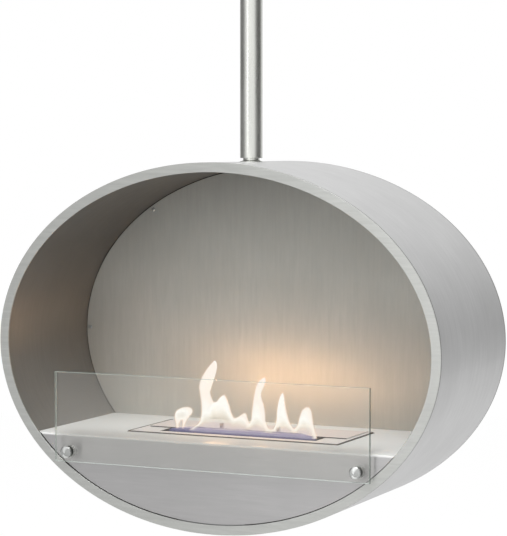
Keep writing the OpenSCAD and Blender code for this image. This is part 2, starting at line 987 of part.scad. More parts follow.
ceiling_plate();
hanging_tube();
tube_screws();
canopy();
canopy_collar();
collar_grub_screw();
swivel_housing();
swivel_bush();
thrust_washer();
swivel_spindle();
castle_nut();
split_pin();
flared_base();
saddle_plate();
saddle_spacer();
foot_washer();
thin_nut();
outer_shell();
front_rim();
rear_rim();
inner_liner();
liner_spacers();
back_flange();
fire_back();
fire_back_screws();
rear_flange();
rear_cover();
rear_cover_screws();
hearth_deck();
left_deck_rail();
right_deck_rail();
panel_catch();
drip_tray();
burner_plate();
fuel_reservoir();
ceramic_wool();
burner_lid();
lid_knobs();
lid_guide_studs();
glass_pane();
glass_gaskets();
standoff_barrels();
standoff_caps();
standoff_studs();
standoff_washers();
standoff_nuts();
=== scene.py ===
"""A hanging fireplace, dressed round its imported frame.

An oval drum of brushed steel hangs on a satin tube. It holds a folded hearth with a
liquid-fuel burner, a low glass screen on two standoffs, and the fire itself. Metres
throughout, in the frame's own axes: +Z is up and the open front faces -Y.
"""
import logging
import math
from collections.abc import Iterable, Mapping, Sequence
from dataclasses import dataclass, field
from enum import Enum

import bmesh
import bpy
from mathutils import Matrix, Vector


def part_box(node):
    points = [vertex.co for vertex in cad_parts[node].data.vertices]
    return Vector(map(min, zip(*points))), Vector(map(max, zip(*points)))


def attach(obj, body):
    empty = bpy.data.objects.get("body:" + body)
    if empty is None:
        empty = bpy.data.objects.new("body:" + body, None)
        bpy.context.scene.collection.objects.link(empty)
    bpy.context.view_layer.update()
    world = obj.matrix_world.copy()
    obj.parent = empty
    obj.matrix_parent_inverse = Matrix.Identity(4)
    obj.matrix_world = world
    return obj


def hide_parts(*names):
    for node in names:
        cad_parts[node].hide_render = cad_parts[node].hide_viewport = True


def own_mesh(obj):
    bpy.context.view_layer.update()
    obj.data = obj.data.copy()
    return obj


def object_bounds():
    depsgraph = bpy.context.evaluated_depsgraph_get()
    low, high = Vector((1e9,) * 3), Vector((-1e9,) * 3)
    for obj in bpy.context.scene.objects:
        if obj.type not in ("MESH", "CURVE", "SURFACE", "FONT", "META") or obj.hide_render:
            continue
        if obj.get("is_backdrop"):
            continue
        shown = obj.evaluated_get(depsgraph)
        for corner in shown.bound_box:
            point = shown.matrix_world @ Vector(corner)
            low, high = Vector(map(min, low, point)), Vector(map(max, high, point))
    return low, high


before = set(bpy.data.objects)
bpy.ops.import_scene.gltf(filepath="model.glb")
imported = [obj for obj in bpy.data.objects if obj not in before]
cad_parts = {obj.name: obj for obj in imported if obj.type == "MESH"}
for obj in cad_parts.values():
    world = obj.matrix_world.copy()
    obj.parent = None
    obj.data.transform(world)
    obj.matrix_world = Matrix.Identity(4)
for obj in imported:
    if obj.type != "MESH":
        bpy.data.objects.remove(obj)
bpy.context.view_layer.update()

LOG = logging.getLogger("fireplace")

Colour = tuple[float, float, float]
Material = bpy.types.Material
Profile = list[tuple[float, float]]
Shape = bmesh.types.BMesh
Socket = bpy.types.NodeSocket

MM = 0.001
OVAL_STEPS = 720
SCRATCHES, SCRATCH_RUNS = 620.0, 5.0  # scratches to a metre, across the brushing and along it
STROKES, STROKE_RUNS = 150.0, 16.0  # the belt strokes that carry them, the same two ways
GRAIN_MAP = "grain"


def srgb(*display: float) -> Colour:
    """Turns a colour written as display values into linear light.

    Args:
        *display: Red, green and blue, 0 to 255.

    Returns:
        The same colour as three linear values.
    """
    shares = [value / 255 for value in display]
    return tuple(share / 12.92 if share <= 0.04045 else ((share + 0.055) / 1.055) ** 2.4
                 for share in shares)


def shaded(colour: Colour, factor: float) -> Colour:
    """A colour made darker or lighter by a factor, up to white."""
    return tuple(min(1.0, channel * factor) for channel in colour)


class Axis(Enum):
    """The three directions of the frame."""

    X = Vector((1, 0, 0))
    Y = Vector((0, 1, 0))
    Z = Vector((0, 0, 1))


class Grain(Enum):
    """How a sheet was brushed: its scratches to a metre along X, Y and Z."""

    ACROSS = (SCRATCH_RUNS, SCRATCHES, SCRATCHES)
    UPRIGHT = (SCRATCHES, SCRATCHES, SCRATCH_RUNS)
    AROUND = (SCRATCH_RUNS, SCRATCHES, SCRATCH_RUNS)

    @property
    def strokes(self) -> tuple[float, ...]:
        """The strokes to a metre, the same three ways."""
        return tuple(STROKES if count == SCRATCHES else STROKE_RUNS for count in self.value)


class Tangent(Enum):
    """Where a finish reads the direction across its scratches from."""

    BY_MAP = {"direction_type": "UV_MAP", "uv_map": GRAIN_MAP}
    ROUND_X = {"direction_type": "RADIAL", "axis": "X"}


# ---- Finishes ----


class Graph:
    """A node tree, with short calls for the nodes that the finishes share."""

    def __init__(self, owner: Material | bpy.types.World) -> None:
        """Empties a node tree.

        Args:
            owner: The new material or world that it belongs to.
        """
        self.owner = owner
        owner.use_nodes = True
        self.tree = owner.node_tree
        self.tree.nodes.clear()

    def node(self, kind: str, inputs: Mapping[int | str, object] | None = None,
             **settings: object) -> bpy.types.Node:
        """Adds a node.

        Args:
            kind: Blender's name of the node, without ShaderNode.
            inputs: Values, or outputs to link, by the socket's name or number.
            **settings: The node's properties, by name.

        Returns:
            The new node.
        """
        made = self.tree.nodes.new("ShaderNode" + kind)
        for name, value in settings.items():
            setattr(made, name, value)
        for key, value in (inputs or {}).items():
            socket = made.inputs[key]
            if isinstance(value, Socket):
                self.tree.links.new(value, socket)
            elif value is not None:
                opaque = socket.type == "RGBA" and len(value) == 3
                socket.default_value = (*value, 1.0) if opaque else value
        return made

    def out(self, kind: str, inputs: Mapping[int | str, object] | None = None,
            **settings: object) -> Socket:
        """Adds a node in the same way, and returns its first output."""
        return self.node(kind, inputs, **settings).outputs[0]

    def place(self, scale: Sequence[float] = (1, 1, 1), uv: str = "") -> Socket:
        """Object coordinates, or those of a UV map, times a scale."""
        where = self.out("UVMap", uv_map=uv) if uv else self.node("TexCoord").outputs["Object"]
        return self.out("Mapping", {"Vector": where, "Scale": tuple(scale)})

    def axes(self, vector: Socket | None = None) -> Mapping[str, Socket]:
        """The X, Y and Z of a vector, or of the Object coordinates."""
        return self.node("SeparateXYZ", {0: self.place() if vector is None else vector}).outputs

    def noise(self, scale: float | Sequence[float], detail: float = 2.0, rough: float = 0.5,
              uv: str = "") -> Socket:
        """Adds a noise pattern.

        Args:
            scale: Its spots to a metre, the same all ways or along X, Y and Z.
            detail: Its octaves.
            rough: The weight of the finer octaves.
            uv: The UV map that it follows in place of Object coordinates.

        Returns:
            The pattern, between 0 and 1.
        """
        spots = (scale,) * 3 if isinstance(scale, float) else scale
        return self.out("TexNoise", {"Vector": self.place(spots, uv), "Scale": 1.0,
                                     "Detail": detail, "Roughness": rough})

    def maths(self, operation: str, *values: object) -> Socket:
        """A Math node on the given values."""
        return self.out("Math", dict(enumerate(values)), operation=operation)

    def ramp(self, value: Socket, start: float = 0.3, end: float = 0.7, low: float = 0.0,
             high: float = 1.0) -> Socket:
        """Maps start to end, by default the range that a noise fills, on low to high."""
        return self.out("MapRange", {"Value": value, "From Min": start, "From Max": end,
                                     "To Min": low, "To Max": high}, clamp=True)

    def blend(self, share: object, first: object, second: object, kind: str = "MIX") -> Socket:
        """Mixes two colours, which are sockets 6 and 7 of the node, as output 2 is."""
        return self.node("Mix", {0: share, 6: first, 7: second}, data_type="RGBA",
                         blend_type=kind).outputs[2]

    def bump(self, height: Socket, distance: float, strength: float,
             normal: Socket | None = None) -> Socket:
        """The normal of a height of 0 to 1 that stands out by a distance, on top of another."""
        return self.out("Bump", {"Height": height, "Distance": distance, "Strength": strength,
                                 "Normal": normal})

    def mix(self, share: object, first: Socket, second: Socket) -> Socket:
        """Mixes two shaders by a share from 0 to 1."""
        return self.out("MixShader", {0: share, 1: first, 2: second})

    def clear(self, colour: object = (1.0, 1.0, 1.0)) -> Socket:
        """A shader that lets light through."""
        return self.out("BsdfTransparent", {"Color": colour})

    def glow(self, colour: object, strength: object) -> Socket:
        """A shader that gives light."""
        return self.out("Emission", {"Color": colour, "Strength": strength})

    def principled(self, **values: object) -> Socket:
        """A Principled shader of its sockets' values, by name with _ for a space."""
        return self.out("BsdfPrincipled",
                        {name.replace("_", " "): value for name, value in values.items()})


@dataclass(frozen=True)
class Finish:
    """A finish, which builds its own material.

    Attributes:
        name: The material's name.
        colour: Its main colour.
    """

    name: str
    colour: Colour

    def shader(self, graph: Graph) -> Socket:
        """Lays the finish's nodes in the material's tree, and returns its surface's shader."""
        raise NotImplementedError

    def build(self) -> Material:
        """Builds the material.

        Returns:
            The material.
        """
        graph = Graph(bpy.data.materials.new(self.name))
        graph.node("OutputMaterial", {"Surface": self.shader(graph)})
        return graph.owner


@dataclass(frozen=True)
class BrushedSteel(Finish):
    """Stainless sheet with fine scratches in one direction, a little cloudy from handling.

    Attributes:
        grain: The direction of the scratches.
        roughness: The mean roughness.
        streak: How much the scratches lighten and darken the steel.
        cloud: How much the broad clouds darken it.
        stretch: How far the scratches draw the highlight out.
        tangent: Where the direction across the scratches is read from.
        wave: How far the sheet is out of true.
        edge_tint: How bright the steel stays where it turns away.
        metal: How metallic it looks; coarse brushing scatters the rest.
        bite: How deep the scratches feel to the light.
        painted_top_shade: What share of its brightness it keeps at the top, as painted shade.
        painted_top_shade_z: The heights between which the painted shade starts and is full.
    """

    grain: Grain
    roughness: float = 0.36
    streak: float = 0.08
    cloud: float = 0.06
    stretch: float = 0.6
    tangent: Tangent = Tangent.BY_MAP
    wave: float = 0.4 * MM
    edge_tint: float = 1.0
    metal: float = 1.0
    bite: float = 0.35
    painted_top_shade: float = 1.0
    painted_top_shade_z: tuple[float, float] = (0.0, 1.0)

    def pattern(self, graph: Graph) -> tuple[Socket, Socket]:
        """Lays the scratches and the clouds.

        Args:
            graph: The material's tree.

        Returns:
            The scratches and the clouds, each between 0 and 1.
        """
        fine = graph.noise(self.grain.value, 5.0, 0.65)
        strokes = graph.noise(self.grain.strokes, 3.0, 0.6)
        scratch = graph.maths("ADD", graph.maths("MULTIPLY", fine, 0.4),
                              graph.maths("MULTIPLY", strokes, 0.6))
        return scratch, graph.noise(7.0, 4.0, 0.6)

    def sheen(self, graph: Graph, scratch: Socket, cloudy: Socket) -> dict[str, object]:
        """Lays the brushed steel on its pattern.

        Args:
            graph: The material's tree.
            scratch: The scratches.
            cloudy: The clouds.

        Returns:
            The values of the Principled shader's sockets.
        """
        brushed = graph.blend(graph.ramp(scratch), shaded(self.colour, 1 - self.streak),
                              shaded(self.colour, 1 + self.streak))
        colour = graph.blend(graph.ramp(cloudy, 0.35, 0.75, high=0.5), brushed,
                             shaded(self.colour, 1 - self.cloud))
        if self.painted_top_shade < 1:
            # Painted shade: the colour darkens towards the top, where less light reaches the steel.
            heat = graph.ramp(graph.axes()["Z"], *self.painted_top_shade_z)
            colour = graph.blend(heat, colour, (self.painted_top_shade,) * 3, "MULTIPLY")
        rough = graph.ramp(scratch, low=self.roughness - 0.05, high=self.roughness + 0.06)
        values = dict(
            Base_Color=colour, Metallic=self.metal, Anisotropic=self.stretch,
            Roughness=graph.maths("ADD", rough, graph.ramp(cloudy, low=-0.02, high=0.04)),
            Normal=graph.bump(scratch, 0.03 * MM, self.bite, graph.bump(cloudy, self.wave, 0.5)),
            Specular_Tint=(self.edge_tint,) * 3)
        if self.stretch:
            values["Tangent"] = graph.out("Tangent", **self.tangent.value)
        return values

    def shader(self, graph: Graph) -> Socket:
        """Lays the nodes and returns the shader."""
        return graph.principled(**self.sheen(graph, *self.pattern(graph)))


@dataclass(frozen=True)
class FoldedSteel(BrushedSteel):
    """Sheet with a level face: brushed below, painted light on top, painted shadow on its cut
    edges.

    Attributes:
        tangent: Where the direction across the scratches is read from.
        lit_shelf_colour: The colour of the level face, painted pale as if lit from above.
        shelf_gloss: How glossy it looks.
        shelf_z: The height of the level face.
        fold: The height over which the two finishes meet.
        blur: The height over which the brown of a cut ends.
        cut_shadow_colour: The colour of the cut edges, a painted shadow of the gaps round them.
        cut_depth: How far below the level face cut edges reach.
        cut_front: Where the cut edges start, from the front.
        cut_ends: Whether the cut shows at the ends as well as at the front and back.
    """

    tangent: Tangent = Tangent.ROUND_X
    lit_shelf_colour: Colour = (0.8, 0.8, 0.8)
    shelf_gloss: float = 0.35
    shelf_z: float = 0.0
    fold: float = 3.4 * MM
    blur: float = 0.2 * MM
    cut_shadow_colour: Colour = srgb(84, 76, 68)
    cut_depth: float = 2.1 * MM
    cut_front: float = -1.0
    cut_ends: bool = True

    def shader(self, graph: Graph) -> Socket:
        """Lays the nodes of the finish.

        Args:
            graph: The material's tree.

        Returns:
            The shader of its surface.
        """
        scratch, cloudy = self.pattern(graph)
        values = self.sheen(graph, scratch, cloudy)
        place, facing = graph.axes(), graph.axes(graph.node("NewGeometry").outputs["Normal"])
        shelf = graph.ramp(place["Z"], self.shelf_z - self.fold, self.shelf_z - self.blur)
        # Painted light: the level face turns pale and non-metallic, as if lit from above.
        satin = graph.blend(graph.ramp(scratch), shaded(self.lit_shelf_colour, 1 - self.streak),
                            self.lit_shelf_colour)
        # Painted shadow: cut edges just below the level face turn dark, for the shade in the gaps
        # round them.
        if self.cut_ends:
            upright = graph.ramp(graph.maths("ABSOLUTE", facing["Z"]), 0.3, 0.6, 1.0, 0.0)
        else:
            upright = graph.ramp(graph.maths("ABSOLUTE", facing["Y"]), 0.5, 0.8)
        behind = graph.ramp(place["Y"], self.cut_front, self.cut_front + 1 * MM)
        cut_z = self.shelf_z - self.cut_depth
        cut = graph.maths("MULTIPLY", graph.maths("MULTIPLY", upright, behind),
                          graph.ramp(place["Z"], cut_z - self.blur, cut_z))
        values.update(
            Base_Color=graph.blend(cut, graph.blend(shelf, values["Base_Color"], satin),
                                   self.cut_shadow_colour),
            Metallic=graph.ramp(shelf, 0.0, 1.0, 1.0, 0.0), Specular_IOR_Level=self.shelf_gloss)
        return graph.principled(**values)


@dataclass(frozen=True)
class TurnedSteel(Finish):
    """Lathe-turned steel: fine rings round the piece's own axis, read from its UV map.

    Attributes:
        roughness: The mean roughness.
        rings: Rings to a millimetre along the profile.
        stretch: How far the rings draw the highlight out.
        painted_glint: How much darker the face is painted at its sides, a painted highlight above
            and below the middle.
    """

    roughness: float = 0.25
    rings: float = 2.6
    stretch: float = 0.85
    painted_glint: float = 0.0

    def shader(self, graph: Graph) -> Socket:
        """Lays the nodes of the finish.

        Args:
            graph: The material's tree.

        Returns:
            The shader of its surface.
        """
        lathe = graph.noise((self.rings, 0.7, 1.0), 4.0, 0.7, GRAIN_MAP)
        ringed = graph.blend(graph.ramp(lathe), shaded(self.colour, 0.86),
                             shaded(self.colour, 1.1))
        # Painted highlight: the face is darkened at either side of the middle, leaving a bright
        # bow-tie above and below.
        turn = graph.axes(graph.place(uv=GRAIN_MAP))["Y"]
        twice = graph.maths("SINE", graph.maths("MULTIPLY", turn, 4 * math.pi))
        painted_side_shade = graph.maths("MULTIPLY", graph.ramp(twice, -0.95, -0.2), self.painted_glint)
        return graph.principled(
            Base_Color=graph.blend(painted_side_shade, ringed, shaded(self.colour, 0.3)), Metallic=1.0,
            Roughness=graph.ramp(lathe, low=self.roughness - 0.05, high=self.roughness + 0.08),
            Normal=graph.bump(lathe, 0.02 * MM, 0.5), Anisotropic=self.stretch,
            Tangent=graph.out("Tangent", **Tangent.BY_MAP.value))


@dataclass(frozen=True)
class PlainMetal(Finish):
    """Unbrushed metal: rolled sheet, zinc plate or bronze, with soft blotches.

    Attributes:
        roughness: The mean roughness.
        blotch: How much the blotches darken it.
    """

    roughness: float = 0.45
    blotch: float = 0.18

    def shader(self, graph: Graph) -> Socket:
        """Lays the nodes of the finish.

        Args:
            graph: The material's tree.

        Returns:
            The shader of its surface.
        """
        spots, grit = graph.noise(60.0, 4.0, 0.6), graph.noise(1500.0)
        dark = shaded(self.colour, 1 - self.blotch)
        return graph.principled(
            Base_Color=graph.blend(graph.ramp(spots), dark, self.colour), Metallic=1.0,
            Roughness=graph.ramp(spots, low=self.roughness - 0.08, high=self.roughness + 0.08),
            Normal=graph.bump(grit, 0.02 * MM, 0.3))


@dataclass(frozen=True)
class ClearGlass(Finish):
    """Toughened glass, or a clear gasket: its colour is what one face lets through to the eye,
    and its gloss grows towards the edge of sight.

    Attributes:
        index: The refractive index that sets the gloss.
        roughness: Its roughness.
        shade: How much of the light that falls through it one face lets on.
    """

    index: float = 1.5
    roughness: float = 0.02
    shade: float = 0.72

    def shader(self, graph: Graph) -> Socket:
        """Lays the nodes of the finish.

        Args:
            graph: The material's tree.

        Returns:
            The shader of its surface.
        """
        smears = graph.noise((9.0, 9.0, 16.0), 3.0, 0.6)
        mirror = graph.principled(
            Base_Color=(1.0, 1.0, 1.0), Metallic=1.0,
            Roughness=graph.ramp(smears, 0.4, 0.8, self.roughness, self.roughness + 0.04))
        path = graph.node("LightPath").outputs
        falling = graph.maths("MAXIMUM", path["Is Shadow Ray"], path["Is Diffuse Ray"])
        facing = graph.node("LayerWeight", {"Blend": 0.5}).outputs["Facing"]
        square_on = ((self.index - 1) / (self.index + 1)) ** 2
        gloss = graph.maths("MULTIPLY_ADD", graph.maths("POWER", facing, 5.0), 1 - square_on,
                            square_on)
        clear = graph.clear(graph.blend(falling, self.colour, (self.shade,) * 3))
        return graph.mix(gloss, clear, mirror)


@dataclass(frozen=True)
class GlassEdge(Finish):
    """The ground edge of the glass.

    Attributes:
        solid: How little is seen through it, 0 to 1.
    """

    solid: float = 0.6

    def shader(self, graph: Graph) -> Socket:
        """Lays the nodes of the finish.

        Args:
            graph: The material's tree.

        Returns:
            The shader of its surface.
        """
        ground = graph.noise(400.0, 3.0, 0.6)
        edge = graph.principled(
            Base_Color=graph.blend(ground, self.colour, shaded(self.colour, 1.12)),
            Metallic=0.0, Roughness=graph.ramp(ground, 0.0, 1.0, 0.12, 0.3), IOR=1.5,
            Normal=graph.bump(ground, 0.05 * MM, 0.3))
        return graph.mix(self.solid, graph.clear(), edge)


@dataclass(frozen=True)
class Wool(Finish):
    """Loose white ceramic fibre."""

    def shader(self, graph: Graph) -> Socket:
        """Lays the nodes of the finish.

        Args:
            graph: The material's tree.

        Returns:
            The shader of its surface.
        """
        strands, tufts = graph.noise((260.0, 900.0, 900.0), 6.0, 0.75), graph.noise(70.0, 3.0, 0.6)
        dark = shaded(self.colour, 0.72)
        return graph.principled(
            Base_Color=graph.blend(graph.ramp(strands, 0.3, 0.6), dark, self.colour),
            Metallic=0.0, Roughness=1.0,
            Normal=graph.bump(strands, 0.6 * MM, 0.7, graph.bump(tufts, 3 * MM, 0.6)))


@dataclass(frozen=True)
class Flame(Finish):
    """Burning spirit: nearly clear in the hollow of its foot, cream above, full in its body.

    Attributes:
        foot: The colour at the foot.
        cheek: The colour where the body starts.
        foot_z: The height of the foot.
        cheek_z: The height where the body starts.
        body_z: The height where the flame is full.
        middle_y: The middle of its depth.
        rim: How near the middle of the depth the flame's bright outline starts.
        flicker: How unevenly the body starts, up and down.
        cone: How much higher the body starts for each metre of the flame's depth.
        thin: How solid the hollow is, 0 to 1.
        solid: How solid the body is.
        glow: How strongly the top of the flame lights the steel.
        glow_z: The height above which it does.
        heat: The colour of that light.
        cast: What share of the glow falls on dull surfaces well away from it.
        near: Its light is faint up to the first distance. Mirrors show it in full from the
            second on, and dull surfaces get their whole cast share from the third on.
    """

    foot: Colour
    cheek: Colour
    foot_z: float
    cheek_z: float
    body_z: float
    middle_y: float
    rim: float
    flicker: float
    cone: float
    thin: float
    solid: float
    glow: float
    glow_z: float
    heat: Colour
    cast: float = 0.2
    near: tuple[float, float, float] = (115 * MM, 150 * MM, 190 * MM)

    def shader(self, graph: Graph) -> Socket:
        """Lays the nodes of the finish.

        Args:
            graph: The material's tree.

        Returns:
            The shader of its surface.
        """
        place, path = graph.axes(), graph.node("LightPath").outputs
        flicker = graph.ramp(graph.noise((60.0, 60.0, 24.0)), 0.0, 1.0, -self.flicker, self.flicker)
        off = graph.maths("ABSOLUTE", graph.maths("SUBTRACT", place["Y"], self.middle_y))
        height = graph.maths("SUBTRACT", graph.maths("ADD", place["Z"], flicker),
                             graph.maths("MULTIPLY", off, self.cone))
        outline = graph.ramp(off, self.rim * 0.4, self.rim, 1.0, 0.0)
        full = graph.ramp(height, self.cheek_z, self.body_z)
        low = graph.blend(graph.ramp(height, self.foot_z, self.cheek_z), self.foot, self.cheek)
        bright = graph.maths("MAXIMUM", full, graph.maths("MULTIPLY", outline, 0.7))
        seen = graph.glow(graph.blend(bright, low, self.colour), 1.0)
        lit = graph.glow(self.heat, graph.ramp(place["Z"], self.glow_z, self.glow_z + 40 * MM,
                                               0.02 * self.glow, self.glow))
        close, fades, far = self.near
        faint = graph.glow(self.heat, graph.ramp(path["Ray Length"], close, far,
                                                 0.06 * self.glow, self.cast * self.glow))
        touching = graph.ramp(path["Ray Length"], close, fades, 1.0, 0.0)
        light = graph.mix(graph.maths("MAXIMUM", path["Is Diffuse Ray"], touching), lit, faint)
        dense = graph.maths("MAXIMUM", full, graph.maths("MULTIPLY", outline, 0.75))
        # The flame stays off the list of lamps, so that only rays which meet it see its glow.
        graph.owner.cycles.emission_sampling = "NONE"
        return graph.mix(graph.ramp(dense, 0.0, 1.0, self.thin, self.solid), graph.clear(),
                         graph.mix(path["Is Camera Ray"], light, seen))


def made(finish: Finish) -> Material:
    """A field that holds a finish's material, which is built with the rest."""
    return field(default_factory=finish.build)


SHELF_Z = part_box("hearth_deck")[1].z


@dataclass(frozen=True)
class Finishes:
    """Every finish of the fireplace, built once."""

    shell: Material = made(BrushedSteel("brushed_shell", srgb(195, 195, 195), Grain.AROUND,
                                        roughness=0.5, streak=0.1, cloud=0.13, stretch=0.35))
    rim: Material = made(BrushedSteel("brushed_rim", srgb(179, 180, 177), Grain.ACROSS,
                                      roughness=0.42, streak=0.14))
    # Painted shade: the darker steel in the groove where shell and rim meet.
    joint: Material = made(PlainMetal("painted_joint_shade", srgb(122, 122, 120), 0.6))
    # Painted light: the hearth's level face is painted pale, as if lit from above.
    hearth: Material = made(FoldedSteel("brushed_hearth", srgb(172, 171, 171), Grain.ACROSS,
                                        roughness=0.4, stretch=0.8, shelf_z=SHELF_Z,
                                        lit_shelf_colour=srgb(250, 251, 249),
                                        cut_front=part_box("hearth_deck")[0].y + 20 * MM))
    # Painted shade: the liner darkens towards the top of the chamber.
    liner: Material = made(BrushedSteel("brushed_liner", srgb(154, 151, 146), Grain.AROUND,
                                        roughness=0.4, streak=0.1, stretch=0.8, metal=0.7,
                                        painted_top_shade=0.46,
                                        painted_top_shade_z=(SHELF_Z - 20 * MM, SHELF_Z + 320 * MM)))
    # Painted shade: the fire back darkens towards its top.
    fire_back: Material = made(BrushedSteel("brushed_fire_back", srgb(181, 181, 175), Grain.UPRIGHT,
                                            roughness=0.52, streak=0.09, cloud=0.1, stretch=0.7,
                                            metal=0.5, painted_top_shade=0.7,
                                            painted_top_shade_z=(SHELF_Z + 260 * MM, SHELF_Z + 460 * MM)))
    # Painted shade: near black along the edges of the flat sheets and the back flange, where shade
    # falls.
    seam: Material = made(PlainMetal("painted_seam_shade", srgb(42, 39, 36), 0.6))
    cover: Material = made(BrushedSteel("brushed_cover", srgb(192, 193, 193), Grain.ACROSS,
                                        roughness=0.46, streak=0.12))
    tube: Material = made(BrushedSteel("satin_tube", srgb(220, 221, 216), Grain.UPRIGHT,
                                       roughness=0.27, streak=0.025, cloud=0.02, stretch=0.0,
                                       wave=0.02 * MM, edge_tint=0.72, bite=0.1))
    # Painted light: the tops of the burner plate and the lid are painted pale the same way.
    burner: Material = made(FoldedSteel("satin_burner", srgb(190, 187, 183), Grain.ACROSS,
                                        streak=0.06, lit_shelf_colour=srgb(248, 243, 240),
                                        shelf_z=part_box("burner_plate")[1].z))
    lid: Material = made(FoldedSteel("satin_lid", srgb(190, 187, 183), Grain.ACROSS,
                                     streak=0.06, lit_shelf_colour=srgb(243, 233, 229),
                                     shelf_z=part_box("burner_lid")[1].z, cut_ends=False,
                                     fold=0.6 * MM))
    # Painted shadow: the dark brown of the plate's lip, for the shade in the gap round the plate.
    gap_shadow_edge: Material = made(PlainMetal("painted_gap_shadow", srgb(124, 116, 108), 0.55))
    turned: Material = made(TurnedSteel("turned_steel", srgb(218, 218, 216)))
    # Painted highlight: the caps' bow-tie.
    cap: Material = made(TurnedSteel("turned_cap", srgb(214, 216, 214), painted_glint=0.62))
    knob: Material = made(TurnedSteel("turned_knob", srgb(214, 210, 216), 0.16))
    barrel: Material = made(BrushedSteel("satin_barrel", srgb(214, 215, 213), Grain.ACROSS,
                                         roughness=0.46, streak=0.04, cloud=0.03, stretch=0.0))
    inner: Material = made(PlainMetal("rolled_steel", srgb(150, 151, 152)))
    bronze: Material = made(PlainMetal("bronze", srgb(176, 132, 72), 0.35))
    zinc: Material = made(PlainMetal("zinc_plate", srgb(188, 190, 190), 0.35))
    glass: Material = made(ClearGlass("clear_glass", srgb(254, 254, 253)))
    glass_edge: Material = made(GlassEdge("glass_edge", srgb(165, 176, 169), 0.55))
    # Painted shade and painted light: darker and paler copies of the glass edge, for its +X and
    # bottom sides.
    painted_shade_glass_edge: Material = made(GlassEdge("painted_shade_glass_edge", srgb(58, 74, 66), 0.72))
    painted_light_glass_edge: Material = made(GlassEdge("painted_light_glass_edge", srgb(228, 236, 233), 0.8))
    gasket: Material = made(ClearGlass("clear_gasket", srgb(225, 226, 224), 1.9, 0.2))
    wool: Material = made(Wool("ceramic_wool", srgb(232, 228, 220)))


def dress(material: Material, *names: str) -> None:
    """Gives CAD nodes a material.

    Args:
        material: The material.
        *names: The nodes.
    """
    for name in names:
        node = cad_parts[name]
        if not node.material_slots:
            node.data.materials.append(material)
        for place in node.material_slots:
            place.material = material


# ---- Shared shapes ----


def arc(centre: tuple[float, float], radius: float, start: float, end: float,
        steps: int = 3) -> Profile:
    """Points on an arc.

    Args:
        centre: The arc's centre.
        radius: Its radius.
        start: Its first angle in degrees.
        end: Its last angle in degrees.
        steps: The number of its chords.

    Returns:
        The points in order.
    """
    angles = [math.radians(start + (end - start) * step / steps) for step in range(steps + 1)]
    return [(centre[0] + radius * math.cos(angle), centre[1] + radius * math.sin(angle))
            for angle in angles]


def add(name: str, data: bpy.types.ID) -> bpy.types.Object:
    """Adds an object to the scene.

    Args:
        name: Its name.
        data: Its mesh, lamp or camera.

    Returns:
        The object.
    """
    thing = bpy.data.objects.new(name, data)
    bpy.context.scene.collection.objects.link(thing)
    return thing


@dataclass(frozen=True)
class Oval:
    """The drum's outline, and the even curves inside it.

    Attributes:
        half_width: Half the drum's width.
        half_height: Half the drum's height.
        middle: The height of its middle.
    """

    half_width: float
    half_height: float
    middle: float

    def point(self, angle: float, inset: float, y: float) -> Vector:
        """A point of the outline.

        Args:
            angle: The angle round the drum, from +X towards +Z.
            inset: How far inside the outline it lies, square to it.
            y: Its place from front to back.

        Returns:
            The point.
        """
        cos, sin = math.cos(angle), math.sin(angle)
        normal = Vector((self.half_height * cos, self.half_width * sin)).normalized()
        return Vector((self.half_width * cos - inset * normal.x, y,
                       self.middle + self.half_height * sin - inset * normal.y))


